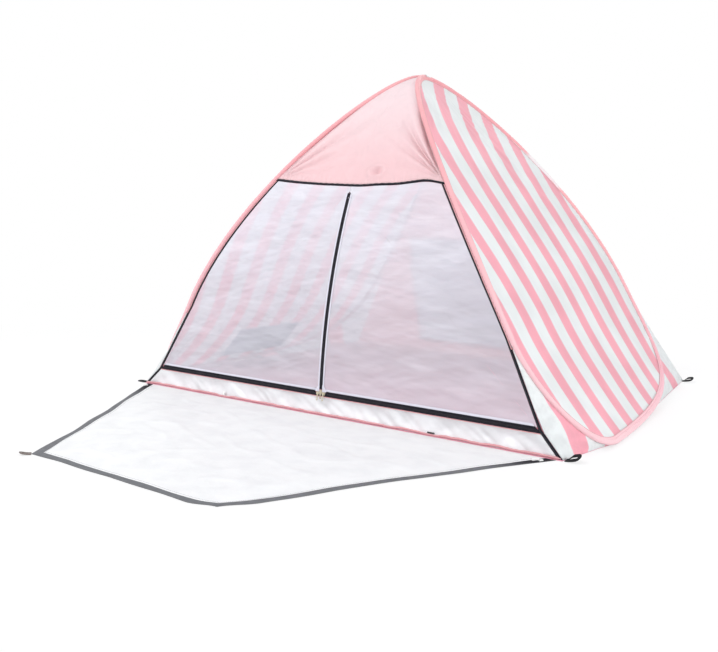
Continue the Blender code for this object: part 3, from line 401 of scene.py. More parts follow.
def finish_named(name, build):
    """Builds a finish once and then hands out the same one."""
    if name not in FINISHES:
        FINISHES[name] = build(name).made
    return FINISHES[name]


def own_finish(build):
    """The finish that is named after the function that builds it."""
    return finish_named(build.__name__, build)


def colours():
    return bpy.context.scene.tent_colours


def shape():
    return bpy.context.scene.tent_shape


def plain_cloth(name, base, across, up, glow=0.30, pale=None, darkest_dyeing_and_painted_shade=0.94):
    """Dyed polyester cloth: a slight sheen, uneven dye and a fine weave."""
    finish = Finish(name, base, 0.62, Sheen_Weight=0.25, Sheen_Roughness=0.45)
    shade = finish.mixed(finish.grain(0.16, 3.0), shaded(base, darkest_dyeing_and_painted_shade), shaded(base, 1.03))
    # With a paler colour (the hood's), the cloth turns paler from the door's top to the peak: a painted highlight
    # where the hood faces the light.
    if pale is not None:
        shade = finish.mixed(finish.along(UPWARD).rise(DOOR_TOP, PEAK_HEIGHT), shade, pale)
    # Darker within 5 cm of the ground: painted shade where the cloth meets the floor.
    shade = finish.mixed(finish.along(UPWARD).rise(0.05, 0.0) * 0.35, shade, shaded(base, 0.80))
    finish.paint(shade)
    finish.roughen(0.56 + 0.14 * finish.grain(0.05))
    crinkle(finish, 0.022, 0.0014)
    weave(finish, across, up, shape().thread)
    finish.let_light_through(glow, shaded(base, 1.04))
    return finish


def pink_cloth(name):
    return plain_cloth(name, colours().pink, RIGHTWARD, UPWARD)


def hood_cloth(name):
    return plain_cloth(name, colours().hood, RIGHTWARD, UPWARD, 0.30, colours().pale_pink)


def floor_cloth(name):
    return plain_cloth(name, colours().floor, RIGHTWARD, BACKWARD, 0.02)


def pocket_cloth(name):
    return plain_cloth(name, colours().pocket, BACKWARD, UPWARD, 0.10)


def silver_cloth(name):
    """Cloth with a silver back: whiter, smoother and a little metallic."""
    kinds = {"porch_cloth": (colours().porch, 0.96, 0.16), "cover_cloth": (colours().cover, 0.95, 0.24)}
    base, low, glow = kinds.get(name, (colours().silver, 0.91, 0.16))
    finish = Finish(name, base, 0.45, Metallic=0.08, Sheen_Weight=0.10)
    # Cloudy patches of the silver coating; on the sill they reach their darkest and are partly painted shade,
    # standing in for the grey shading of its folds.
    blotches_and_painted_fold_shade = finish.grain(0.07, 3.0, (1, 1, 1.4)).rise(0.30, 0.62)
    shade = finish.mixed(blotches_and_painted_fold_shade, shaded(base, low), shaded(base, 1.04))
    # Darker within 3 cm of the ground: painted shade where the cloth meets the floor.
    finish.paint(finish.mixed(finish.along(UPWARD).rise(0.03, 0.0) * 0.25, shade, shaded(base, 0.86)))
    finish.roughen(0.36 + 0.20 * finish.grain(0.04))
    crinkle(finish, 0.030, 0.0022)
    crinkle(finish, 0.009, 0.0005)
    weave(finish, RIGHTWARD, BACKWARD + UPWARD, shape().thread, 0.00008)
    finish.let_light_through(glow, shaded(base, 1.05))
    return finish


# Stripes run almost upright: how a stripe's number depends on where a point of the wall is.
# The cloth is pulled over the bent hoop, which spreads the stripes towards the back and bows them.
STRIPES_PER_METRE = 6.50
STRIPE_START = 4.09
STRIPE_SPREAD = -0.81
STRIPE_BOW = (-3.90, 10.13, -6.97)
STRIPE_FAN = -0.86
STRIPE_SHARE = 0.455
STRIPE_SOFTNESS = 0.02


def stripe_mask(finish, number, share=STRIPE_SHARE):
    """1 on a pink stripe and 0 on a white one."""
    part = number.fraction()
    return part.rise(0.0, STRIPE_SOFTNESS) - part.rise(share, share + STRIPE_SOFTNESS)


def wall_stripes(finish):
    back = finish.along(BACKWARD)
    up = finish.along(UPWARD)
    first, second, third = STRIPE_BOW
    bow = up * (first + up * (second + up * third))
    return STRIPE_START + back * (STRIPES_PER_METRE + back * STRIPE_SPREAD + up * STRIPE_FAN) + bow


def striped(name, number_of, share=STRIPE_SHARE, patch=0.14, darkest_dyeing_and_painted_shade=0.96):
    """White cloth with woven pink stripes."""
    pink, white = colours().stripe_pink, colours().stripe_white
    finish = Finish(name, pink, 0.6, Sheen_Weight=0.25, Sheen_Roughness=0.45)
    mask = stripe_mask(finish, number_of(finish), share)
    # Patches where the cloth is darker or lighter: uneven dyeing on the walls; on the gussets they are small and
    # dark, painted shade that stands in for their crumpled creases.
    uneven_dyeing_and_painted_shade = finish.grain(patch, 3.0).rise(0.35, 0.65)
    rose = finish.mixed(uneven_dyeing_and_painted_shade, shaded(pink, 0.95), shaded(pink, 1.05))
    pale = finish.mixed(uneven_dyeing_and_painted_shade, shaded(white, darkest_dyeing_and_painted_shade), shaded(white, 1.03))
    finish.paint(finish.mixed(mask, pale, rose))
    finish.roughen(0.54 + 0.14 * finish.grain(0.05))
    crinkle(finish, 0.026, 0.0016, (1, 1, 0.5))
    weave(finish, BACKWARD, UPWARD, shape().thread)
    finish.let_light_through(0.30, white, pink, mask)
    return finish


def wall_cloth(name):
    return striped(name, wall_stripes)


# The gussets' whites get small dark patches: painted shade for their crumpled creases.
def front_gusset_cloth(name):
    return striped(name, lambda finish: (finish.along(BACKWARD) + 0.668) / 0.150, STRIPE_SHARE, 0.03, 0.92)


def rear_gusset_cloth(name):
    def number_of(finish):
        return (finish.along(BACKWARD) + 0.91 * finish.along(UPWARD) - 0.500) / 0.500

    return striped(name, number_of, 0.22, 0.03, 0.93)


def banded_sleeve(name, bands):
    """Sleeve cloth cut across the stripes, so that its colour changes along the hoop."""
    pink = colours().pink
    finish = Finish(name, pink, 0.6, Sheen_Weight=0.25, Sheen_Roughness=0.45)
    along = finish.add("ShaderNodeAttribute", {"attribute_name": "along"}).outputs["Fac"]
    stops = {"stops": bands}
    shade = finish.add("ShaderNodeValToRGB", stops, {"Fac": along}).outputs["Color"]
    tint = finish.grain(0.03, 3.0)
    finish.paint(finish.mixed(tint * 0.22, shade, shaded(pink, 0.84)))
    finish.roughen(0.55 + 0.15 * finish.grain(0.02))
    crinkle(finish, 0.012, 0.0010)
    finish.let_light_through(0.10, pink)
    return finish


# Long creases of the net: how wide they are, how much longer than wide, and how they slant
NET_STREAKS = ((0.110, 4.0, 0.22), (0.060, 6.0, 0.05))


def net(name):
    """Fine knitted net: mostly thread, with small holes that show what is behind."""
    base = colours().net
    finish = Finish(name, base, 0.48, Sheen_Weight=0.55, Sheen_Roughness=0.35)
    holes = finish.ribs(RIGHTWARD, NET_HOLE) * finish.ribs(UPWARD, NET_HOLE)
    bunched = finish.grain(0.05, 3.0, (0.35, 1.0, 1.8))
    creases = [1 - (2 * finish.streaks(*spread) - 1).size() for spread in NET_STREAKS]
    sharp = creases[0].rise(0.80, 1.0) + creases[1].rise(0.84, 1.0)
    denser = 0.12 * finish.along(UPWARD).rise(0.22, 0.64) + 0.05 * bunched.rise(0.50, 0.80)
    finish.feed(finish.shader.inputs["Alpha"], 0.49 + denser + 0.03 * holes + 0.03 * sharp)
    finish.paint(finish.mixed(bunched, shaded(base, 0.96), shaded(base, 1.04)))
    finish.roughen(0.38 + 0.16 * finish.grain(0.03))
    crinkle(finish, 0.018, 0.0022, (0.45, 1.0, 1.6))
    crinkle(finish, 0.007, 0.0006, (0.6, 1.0, 1.3))
    finish.emboss(creases[0], 0.0026, 0.5)
    finish.emboss(creases[1], 0.0014, 0.4)
    return finish


def zip_tape(base, across, near_floor=None):
    """Woven zip tape with fine ribs, which may take another colour where it nears the floor's corners."""

    def build(name):
        finish = Finish(name, base, 0.65, Specular_IOR_Level=0.2)
        shade = finish.mixed(finish.grain(0.02), shaded(base, 0.8), shaded(base, 1.35))
        if near_floor is not None:
            near = finish.along(BACKWARD).rise(FRONT_EDGE - 0.20, FRONT_EDGE - 0.04)
            shade = finish.mixed(near, shade, near_floor)
        finish.paint(shade)
        finish.roughen(0.62 + 0.15 * finish.grain(0.01))
        finish.emboss(finish.ribs(across, TAPE_RIB), 0.0002, 0.4)
        return finish

    return build


def webbing(name):
    """Woven strap: chevron ribs and fuzzy edges."""
    base = WEBBING_BLACK
    finish = Finish(name, base, 0.8, Sheen_Weight=0.02, Specular_IOR_Level=0.25)
    ribs = finish.ribs((1, 1, 0), WEBBING_RIB)
    finish.paint(finish.mixed(ribs * 0.5 + 0.5, shaded(base, 0.7), shaded(base, 1.7)))
    finish.roughen(0.7 + 0.2 * finish.grain(0.006))
    finish.emboss(ribs, 0.0003, 0.6)
    return finish


def trim(base, roughness=0.6):
    """Narrow woven tape and binding."""

    def build(name):
        finish = Finish(name, base, roughness, Sheen_Weight=0.2)
        finish.paint(finish.mixed(finish.grain(0.02, 3.0), shaded(base, 0.90), shaded(base, 1.05)))
        finish.roughen(roughness - 0.05 + 0.15 * finish.grain(0.01))
        finish.emboss(finish.ribs((1, 1, 1), 0.0012), 0.0001, 0.3)
        return finish

    return build


def metal(base, roughness):
    """Bright metal with fine scratches."""

    def build(name):
        finish = Finish(name, base, roughness, Metallic=1.0)
        scratch = finish.grain(0.004, 3.0, (1, 1, 8))
        finish.paint(finish.mixed(finish.grain(0.01), shaded(base, 0.85), shaded(base, 1.1)))
        finish.roughen(roughness + 0.18 * scratch)
        finish.emboss(scratch, 0.00005, 0.3)
        return finish

    return build


def plastic(base, roughness):
    """Moulded plastic with a slightly uneven skin."""

    def build(name):
        finish = Finish(name, base, roughness)
        finish.paint(finish.mixed(finish.grain(0.012), shaded(base, 0.92), shaded(base, 1.04)))
        finish.roughen(roughness + 0.12 * finish.grain(0.005))
        finish.emboss(finish.grain(0.002, 3.0), 0.00006, 0.3)
        return finish

    return build


def zip_black(name, across=UPWARD):
    return finish_named(name, zip_tape(colours().zip_black, across))


def zip_teeth():
    return finish_named("zip_teeth", trim(shaded(colours().zip_black, 1.3), 0.5))


def seam_roll():
    return finish_named("seam_roll", trim(shaded(colours().pink, 0.80)))


def white_tape():
    return finish_named("white_tape", trim(OFF_WHITE))


# Shape helpers

def mix(a, b, share):
    return a + (b - a) * share


def smooth(low, high, value):
    """0 below low, 1 above high, and smooth between them."""
    share = min(1.0, max(0.0, (value - low) / (high - low)))
    return share * share * (3 - 2 * share)


def bump(value, centre, width):
    """1 at the centre, falling to nothing about two widths away."""
    return math.exp(-(((value - centre) / width) ** 2))


def cloud(point, size, stretch=(1, 1, 1), seed=0.0):
    """Smooth noise from -1 to 1 whose lumps are about size across."""
    x, y, z = (part * factor / size for part, factor in zip(point, stretch))
    return noise.noise((x + seed, y + 2.7 * seed, z - 1.3 * seed))


def ridged(point, size, stretch=(1, 1, 1), seed=0.0):
    """Noise with narrow crests, like the creases of packed cloth."""
    return 1 - 2 * abs(cloud(point, size, stretch, seed))


def falling(high, low, count, ease=None):
    """Heights from high to low; ease bunches them at one end or at both."""
    heights = []
    for k in range(count):
        share = k / (count - 1)
        if ease == "both":
            share = 0.5 - 0.5 * math.cos(math.pi * share)
        elif ease == "high":
            share = 1 - math.cos(math.pi / 2 * share)
        heights.append(mix(high, low, share))
    return heights


def with_levels(levels, extra):
    """Falling heights that also include the extra ones."""
    kept = [z for z in levels if all(abs(z - other) > SHEET for other in extra)]
    return sorted(kept + list(extra), reverse=True)


class Edge:
    """A line that falls from its first point to its last, looked up by height."""

    def __init__(self, points):
        self.points = points
        self.falls = [-point.z for point in points]

    def at(self, z):
        i = int(np.searchsorted(self.falls, -z))
        if i <= 0:
            return self.points[0].copy()
        if i >= len(self.points):
            return self.points[-1].copy()
        high, low = self.points[i - 1], self.points[i]
        return mix(high, low, (high.z - z) / max(high.z - low.z, 1e-9))


def mirrored(points, side):
    """The same points on the right side, or on the left one when side is -1."""
    return [Vector((point.x * side, point.y, point.z)) for point in points]


def sided(rows, side):
    return [mirrored(row, side) for row in rows]


def surface_normals(rows, towards):
    """Unit normals of a grid of points, all on the side that faces a direction."""
    points = np.array([[tuple(point) for point in row] for row in rows])
    square = np.cross(np.gradient(points, axis=0), np.gradient(points, axis=1))
    lengths = np.linalg.norm(square, axis=2, keepdims=True)
    square = square / np.maximum(lengths, 1e-12)
    if (square @ np.array(towards)).mean() < 0:
        square = -square
    return [[Vector(one) for one in row] for row in square]


def raised(rows, towards, height):
    """Rows moved along their normals; height takes a point, its share down and its share across."""
    normals = surface_normals(rows, towards)
    lifted = []
    for i, (row, directions) in enumerate(zip(rows, normals)):
        down = i / (len(rows) - 1)
        lifted.append(
            [
                point + direction * height(point, down, j / (len(row) - 1))
                for j, (point, direction) in enumerate(zip(row, directions))
            ]
        )
    return lifted


def line_length(points):
    return sum((b - a).length for a, b in zip(points, points[1:]))


def cut_size(rows, keep=None):
    """A sheet's flat width and length, and its area, from the rows it is made of."""
    width = max(line_length(row) for row in rows)
    height = max(line_length(column) for column in zip(*rows))
    area = 0.0
    for i, (upper, lower) in enumerate(zip(rows, rows[1:])):
        for j in range(len(upper) - 1):
            if keep is None or keep(i, j):
                a, b, c, d = upper[j], lower[j], lower[j + 1], upper[j + 1]
                area += (c - a).cross(d - b).length / 2
    return width, height, area


def grid_mesh(name, rows, keep=None, closed=False):
    """A mesh of four-sided faces through rows of points."""
    columns = len(rows[0])
    faces = []
    for i in range(len(rows) - 1):
        for j in range(columns if closed else columns - 1):
            if keep is None or keep(i, j):
                after = (j + 1) % columns
                low = (i + 1) * columns
                faces.append((i * columns + j, low + j, low + after, i * columns + after))
    mesh = bpy.data.meshes.new(name)
    mesh.from_pydata([tuple(point) for row in rows for point in row], [], faces)
    build = bmesh.new()
    build.from_mesh(mesh)
    bmesh.ops.delete(build, geom=[vert for vert in build.verts if not vert.link_faces], context="VERTS")
    bmesh.ops.remove_doubles(build, verts=build.verts, dist=1e-6)
    bmesh.ops.recalc_face_normals(build, faces=build.faces)
    build.to_mesh(mesh)
    build.free()
    mesh.shade_smooth()
    return mesh


def place(name, mesh, finish, body, nodes=(), slot=None):
    """Puts a piece in the scene, on the body that carries it and for the nodes it stands for."""
    made = bpy.data.objects.new(name, mesh)
    mesh.materials.append(finish)
    bpy.context.scene.collection.objects.link(made)
    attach(made, body)
    if nodes:
        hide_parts(*nodes)
    return made


def thicken(made, thickness=CLOTH):
    skin = made.modifiers.new("thickness", "SOLIDIFY")
    skin.thickness = thickness
    skin.offset = 0.0
    return skin


def cloth(name, rows, finish, nodes, slot, body=ROOT, thickness=CLOTH, keep=None):
    """One cut sheet of cloth through rows of points, with its flat size declared."""
    made = place(name, grid_mesh(name, rows, keep), finish, body, nodes, slot)
    if thickness:
        thicken(made, thickness)
    width, height, area = cut_size(rows, keep)
    cut = width * height
    min(cut, max(area, 0.31 * cut))
    return made


def ring_rows(points, radius_at, sides):
    """Rings round a line of points; radius_at takes the ring's number, an angle and the length so far."""
    rows = []
    so_far = 0.0
    side = None
    for i, point in enumerate(points):
        along = (points[min(i + 1, len(points) - 1)] - points[max(i - 1, 0)]).normalized()
        if side is None:
            side = along.orthogonal().normalized()
        side = (side - along * side.dot(along)).normalized()
        other = along.cross(side)
        row = []
        for k in range(sides):
            angle = math.tau * k / sides
            radius = radius_at(i, angle, so_far)
            row.append(point + (side * math.cos(angle) + other * math.sin(angle)) * radius)
        rows.append(row)
        if i + 1 < len(points):
            so_far += (points[i + 1] - point).length
    return rows


def evenly(points, step):
    """The same line with points about a step apart."""
    lengths = [0.0]
    for a, b in zip(points, points[1:]):
        lengths.append(lengths[-1] + (b - a).length)
    count = max(2, round(lengths[-1] / step) + 1)
    wanted = np.linspace(0, lengths[-1], count)
    parts = [np.interp(wanted, lengths, [point[axis] for point in points]) for axis in range(3)]
    return [Vector(point) for point in zip(*parts)]


def thread_line(name, points, radius, finish, body, sides=6, step=0.004, lumps=0.0):
    """A thin round piece sewn along a line, such as a seam's thread roll."""
    points = evenly(points, step)
    seed = len(name) + points[0].x

    def radius_at(_, angle, so_far):
        return radius * (1 + lumps * noise.noise((so_far / 0.01, math.cos(angle), seed)))

    rows = ring_rows(points, radius_at, sides)
    return place(name, grid_mesh(name, rows, closed=True), finish, body)


def coil(name, points, across, out, finish, body, size=DOOR_TEETH):
    """A zip's teeth: a narrow ridge with a tooth every few millimetres, beside a line of points."""
    width, height = size
    tooth = shape().tooth
    points = evenly(points, tooth / 4)
    rows = []
    for k, point in enumerate(points):
        crest = (0.35, 1.0, 1.0, 0.35)[k % 4]
        aside = across(point) if callable(across) else across
        low, up, over = point + out * height * 0.15, out * height * crest, aside * width
        rows.append([low, low + over * 0.2 + up, low + over * 0.8 + up, low + over])
    return place(name, grid_mesh(name, rows), finish, body)


def stitches(name, points, out, finish, body=ROOT):
    """A row of raised stitches along a line, standing out one way."""
    spacing, size, half, high = 0.0042, 0.0029, 0.00032, 0.00035
    line = evenly(points, spacing)
    corners, faces = [], []
    for a, b in zip(line, line[1:]):
        along = (b - a).normalized()
        aside = along.cross(out).normalized() * half
        start, end = a + out * 0.0001, a + along * size + out * 0.0001
        first = len(corners)
        corners += [start - aside, start + aside, end + aside, end - aside]
        rise, inset, narrow = out * high, along * 0.0005, aside * 0.4
        corners += [
            start - narrow + inset + rise, start + narrow + inset + rise,
            end + narrow - inset + rise, end - narrow - inset + rise,
        ]
        for face in ((0, 1, 5, 4), (1, 2, 6, 5), (2, 3, 7, 6), (3, 0, 4, 7), (4, 5, 6, 7)):
            faces.append(tuple(first + corner for corner in face))
    mesh = bpy.data.meshes.new(name)
    mesh.from_pydata([tuple(corner) for corner in corners], [], faces)
    mesh.shade_smooth()
    return place(name, mesh, finish, body)


def inset_border(rows, step):
    """The line round a grid of points, a few rows and columns in from its edge."""
    inner = [row[step:-step] for row in rows[step:-step]]
    border = list(inner[0]) + [row[-1] for row in inner[1:]] + list(reversed(inner[-1]))[1:]
    return border + [row[0] for row in reversed(inner[:-1])]


# The hoops' line, as the solids have it, and a finer one through the same places

def hoop_line(finer):
    """The right hoop's middle line from the peak, down the front, along the ground and up the back."""
    peak = Vector((EDGE_CLEARANCE, PEAK_Y, PEAK_HEIGHT))
    fore = Vector((FORE_X, FRONT_EDGE + FORE_SETBACK, FORE_Z))
    low = Vector((CORNER_X + LOW_OVERHANG, LOW_Y, SLEEVE_RADIUS))
    rear = Vector((REAR_X, REAR_EDGE - REAR_SETBACK, REAR_Z))
    fore_up = Vector((-FORE_LEAN, 0, 1)).normalized()
    rear_up = Vector((-REAR_LEAN, 0, 1)).normalized()
    runs = (
        (peak, FORWARD * PEAK_FRONT_REACH, fore_up * FORE_UPPER_REACH, fore, FORE_STEPS),
        (fore, -fore_up * FORE_LOWER_REACH, FORWARD * LOW_FRONT_REACH, low, LOW_STEPS),
        (low, BACKWARD * LOW_REAR_REACH, -rear_up * REAR_LOWER_REACH, rear, REAR_STEPS),
        (rear, rear_up * REAR_UPPER_REACH, BACKWARD * PEAK_REAR_REACH, peak, PEAK_STEPS),
    )
    points = []
    for start, leaving, arriving, end, steps in runs:
        points += interpolate_bezier(start, start + leaving, end + arriving, end, steps * finer + 1)[:-1]
    return points


HOOP = hoop_line(1)
HOOP_COUNT = len(HOOP)
FORE_INDEX = FORE_STEPS
LOW_INDEX = FORE_STEPS + LOW_STEPS
REAR_INDEX = LOW_INDEX + REAR_STEPS
HOOP_MIDDLE = sum(HOOP, Vector()) / HOOP_COUNT
RING = hoop_line(FINER)
RING_COUNT = len(RING)


def tangent(ring, i):
    return (ring[(i + 1) % len(ring)] - ring[i - 1]).normalized()


def inward(ring, i):
    """The direction across the wire towards the hoop's middle."""
    along = tangent(ring, i)
    to_middle = HOOP_MIDDLE - ring[i]
    return (to_middle - along * to_middle.dot(along)).normalized()


def ridge_edge(indices):
    """Where a wall between the two hoops ends beside the sleeve, on level rows."""
    points = []
    for i in indices:
        along = tangent(RING, i % RING_COUNT)
        point = RING[i % RING_COUNT].copy()
        point.x -= EDGE_CLEARANCE / math.sqrt(max(1e-4, 1 - along.x * along.x))
        points.append(point)
    return Edge(points)


FRONT_RIDGE = ridge_edge(range(0, FORE_INDEX * FINER + 1))
REAR_RIDGE = ridge_edge(range(RING_COUNT, REAR_INDEX * FINER - 1, -1))


# Front wall: hood, door and sill lie on one surface of level rows

FRONT_ZIP_Y = FRONT_EDGE + ZIP_SETBACK
CENTRE_TOP_POINT = Vector((0, FRONT_RIDGE.at(CENTRE_ZIP_TOP).y, CENTRE_ZIP_TOP))
CENTRE_LOW_POINT = Vector((0, FRONT_ZIP_Y, ZIP_LINE))


def door_arc():
    """Centre and radius of the centre zip's arc, which bows towards the front."""
    chord = CENTRE_TOP_POINT - CENTRE_LOW_POINT
    half = chord.length / 2
    radius = (half * half + DOOR_BOW * DOOR_BOW) / (2 * DOOR_BOW)
    back = Vector((0, chord.z, -chord.y)).normalized()
    centre = mix(CENTRE_LOW_POINT, CENTRE_TOP_POINT, 0.5) + back * (radius - DOOR_BOW)
    return centre, radius


ARC_CENTRE, ARC_RADIUS = door_arc()
ZIP_SLOPE = (ZIP_LINE - ARC_CENTRE.z) / (ARC_CENTRE.y - FRONT_ZIP_Y)
UPPER_TAPE_TOP = ZIP_LINE + ZIP_SLIT / 2 + ZIP_TAPE_WIDTH
LOWER_TAPE_LOW = ZIP_LINE - ZIP_SLIT / 2 - ZIP_TAPE_WIDTH
CENTRE_TAPE_LOW = ZIP_LINE - ZIP_SLIT / 2 + SEAM_GAP + SLIDER_LENGTH + 2 * SLIDER_SPACING
SILL_FOOT_Y = FRONT_EDGE + SEAM_GAP + 2 * PIPING_RADIUS + SEAM
HOOD_LOW = DOOR_TOP + SEAM_GAP + TOP_TAPE_WIDTH + SEAM_GAP
LEVEL_STEP = 0.004


def arc_y(z):
    return ARC_CENTRE.y - math.sqrt(ARC_RADIUS**2 - (z - ARC_CENTRE.z) ** 2)


def low_y(z):
    """The flat band of the bottom zip, and the sill that leans out below it to the floor."""
    if z >= LOWER_TAPE_LOW:
        return FRONT_ZIP_Y - (ZIP_LINE - z) * ZIP_SLOPE
    band_foot = FRONT_ZIP_Y - (ZIP_LINE - LOWER_TAPE_LOW) * ZIP_SLOPE
    return mix(SILL_FOOT_Y, band_foot, (z - FOOT) / (LOWER_TAPE_LOW - FOOT))


def outer_edge(z):
    """The opening's side: up the hoop's sleeve, and below it straight to the floor's corner."""
    if z >= FORE_Z:
        return FRONT_RIDGE.at(z)
    start = FRONT_RIDGE.at(FORE_Z)
    foot_x = CORNER_X - DOOR_FOOT_INSET
    if z >= ZIP_LINE:
        x = mix(foot_x, start.x, (z - ZIP_LINE) / (FORE_Z - ZIP_LINE))
    else:
        x = mix(CORNER_X - SEAM, foot_x, (z - FOOT) / (ZIP_LINE - FOOT))
    if z > UPPER_TAPE_TOP:
        y = mix(low_y(UPPER_TAPE_TOP), start.y, (z - UPPER_TAPE_TOP) / (FORE_Z - UPPER_TAPE_TOP))
    else:
        y = low_y(z)
    return Vector((x, y, z))


def lean(edge_x, z):
    """How much longer a slanting edge is than its height."""
    slope = (edge_x(z + LEVEL_STEP) - edge_x(z)) / LEVEL_STEP
    return math.sqrt(1 + slope * slope)


def outer_edge_x(z):
    return outer_edge(z).x


def inner_edge_x(z):
    """The side tape's inner edge."""
    return outer_edge_x(z) - SIDE_TAPE_WIDTH * lean(outer_edge_x, z)


def panel_edge_x(z):
    """Where net and sill end beside the side tape."""
    return inner_edge_x(z) - SEAM_GAP * lean(inner_edge_x, z)


# Each door leaf folds on a straight line from the top of the centre zip to the end of the bottom zip
LEAF_LOW = ZIP_LINE + ZIP_SLIT / 2
FOLD_TOP = CENTRE_TOP_POINT
FOLD_FOOT = Vector((inner_edge_x(LEAF_LOW) - 2 * SEAM_GAP, low_y(LEAF_LOW), LEAF_LOW))
FOLD_SLANT = (FOLD_FOOT.x - FOLD_TOP.x) / (FOLD_TOP.z - FOLD_FOOT.z)
FOLD_GAP = SEAM_GAP * math.sqrt(1 + FOLD_SLANT * FOLD_SLANT)


def fold_point(z):
    return mix(FOLD_TOP, FOLD_FOOT, (FOLD_TOP.z - z) / (FOLD_TOP.z - FOLD_FOOT.z))


def leaf_edge_x(z):
    return fold_point(z).x - FOLD_GAP


def front_row(first, last, z, columns):
    """Part of a level row, between the centre zip, the leaf's fold and the outer edge."""
    row = []
    edge = outer_edge(z)
    fold = fold_point(z)
    centre = arc_y(z) if z > CENTRE_TAPE_LOW - SEAM_GAP else low_y(z)
    flat = ZIP_SLIT / 2 + ZIP_TAPE_WIDTH
    for j in range(columns):
        x = mix(first, last, j / (columns - 1))
        across = abs(x)
        if z <= UPPER_TAPE_TOP:
            y = low_y(z)
        elif z >= FOLD_TOP.z:
            y = edge.y
        elif across <= flat:
            y = centre
        elif across <= fold.x:
            y = mix(centre, fold.y, (across - flat) / (fold.x - flat))
        else:
            y = mix(fold.y, edge.y, (across - fold.x) / (edge.x - fold.x))
        row.append(Vector((x, y, z)))
    return row


def front_rows(levels, span, columns):
    """Rows at falling heights; span gives each row's first and last x."""
    return [front_row(*span(z), z, columns) for z in levels]


def ridge_span(z):
    """From sleeve to sleeve."""
    return -FRONT_RIDGE.at(z).x, FRONT_RIDGE.at(z).x


def panel_span(z):
    """From side tape to side tape."""
    return -panel_edge_x(z), panel_edge_x(z)


# How far the opening's top line stands above a level line, from its left end to its right end
TOP_LINE_SHARES = (-1.00, -0.70, -0.37, -0.09, 0.12, 0.29, 0.51, 0.68, 0.83, 0.96, 1.00)
TOP_LINE_LIFTS = (0.0260, 0.0160, 0.0085, 0.0045, 0.0015, 0.0055, 0.0060, 0.0125, 0.0180, 0.0095, 0.0050)
TOP_LINE_REACH = 0.10
TOP_LINE_EASE = np.linspace(-0.07, 0.07, 7)


def hung(rows):
    """The opening's top line isn't level, and the cloth round it follows it along the sleeves."""
    for row in rows:
        for point in row:
            before = FRONT_RIDGE.at(point.z)
            narrow = max(0.02, before.x)
            lift = float(np.interp(point.x / narrow + TOP_LINE_EASE, TOP_LINE_SHARES, TOP_LINE_LIFTS).mean())
            lift *= bump(point.z, HOOD_LOW, TOP_LINE_REACH)
            after = FRONT_RIDGE.at(point.z + lift)
            point.x *= max(0.02, after.x) / narrow
            point.y += after.y - before.y
            point.z += lift
    return rows


# Hood

HOOD_CREASES = 5
HOOD_CREASE = 0.005
# How much of the opening's top tape the hood's hem covers
HOOD_HEM = 0.0032
# Each crease runs out of a lower corner: which side, its angle, how wide and how deep it is
CORNER_CREASES = (
    (1, 0.30, 0.060, -0.5),
    (1, 0.52, 0.045, -1.0),
    (1, 0.61, 0.030, 0.5),
    (1, 0.71, 0.036, -1.5),
    (1, 0.79, 0.026, 0.6),
    (1, 0.88, 0.032, -1.7),
    (1, 0.95, 0.022, 0.6),
    (1, 1.02, 0.028, -1.3),
    (-1, 0.22, 0.050, -0.6),
    (-1, 0.42, 0.050, -0.9),
    (-1, 0.66, 0.045, -0.9),
    (-1, 0.86, 0.040, -0.6),
)
PUCKER_PLACE = (0.085, 0.790)


def hood_height(point, down, across):
    """The hood's outward shape: broad creases, sharp ones at its corners, a pucker and fine slack."""
    fold = shape().hood_fold
    edge_x = max(FRONT_RIDGE.at(point.z).x, LEVEL_STEP)
    rise = max(0.0, point.z - HOOD_LOW)
    reach = max(0.0, edge_x - abs(point.x))
    angle = math.atan2(rise, reach + LEVEL_STEP)
    level = math.sin(math.pi * min(1.0, reach / edge_x))
    up = math.sin(math.pi * min(1.0, rise / (PEAK_HEIGHT - HOOD_LOW)))
    height = HOOD_CREASE * math.sin(2 * HOOD_CREASES * angle) * math.sqrt(max(0.0, level)) * max(0.0, up)
    corner_x = FRONT_RIDGE.at(HOOD_LOW).x
    for side, slant, width, depth in CORNER_CREASES:
        away = corner_x - point.x * side
        far = math.hypot(away, rise)
        turned = math.atan2(rise, max(away, 1e-4))
        along = smooth(0.0, 0.05, far) * (1 - smooth(0.16, 0.46, far))
        height += fold * depth * along * bump(turned, slant + 0.10 * far, width)
    spot_x, spot_z = PUCKER_PLACE
    away = math.hypot(point.x - spot_x, 1.6 * (point.z - spot_z))
    height -= fold * bump(away, 0.0, 0.014) - 0.6 * fold * bump(away, 0.031, 0.011)
    inside = smooth(0.0, 0.02, reach) * smooth(0.0, 0.015, rise)
    fine = 0.30 * cloud(point, 0.060, (1, 1, 0.6), 3.1) + 0.14 * ridged(point, 0.035, (1, 1, 0.7), 5.2)
    sewn = bump(rise, 0.006, 0.012) * math.sin(point.x * math.tau / 0.023 + 3 * cloud(point, 0.05, seed=1.0))
    over_tape = 0.0013 * (1 - smooth(0.0, 0.006, rise))
    return height + over_tape + fold * inside * fine + 0.12 * fold * sewn


def make_hood():
    top = PEAK_HEIGHT - PEAK_MARGIN
    rows = front_rows(falling(top, HOOD_LOW - HOOD_HEM, 150, "high"), ridge_span, 161)
    rows = hung(raised(rows, (0, -1, 0.5), hood_height))
    cloth("hood", rows, own_finish(hood_cloth), ["hood_panel"], "pink_cloth")
    hem = [point + FORWARD * CLOTH / 2 for point in rows[-2]]
    thread = finish_named("pink_thread", trim(shaded(colours().pink, 0.9)))
    stitches("hood_hem_stitches", hem, FORWARD, thread)


# Door

def net_fold(point, size, slant, length, seed):
    """Long folds of the net: size across, and length times as long, slanting up to the right."""
    along = (point.x * math.cos(slant) + point.z * math.sin(slant)) / length
    over = point.z * math.cos(slant) - point.x * math.sin(slant)
    return noise.noise((along / size + seed, over / size, seed))


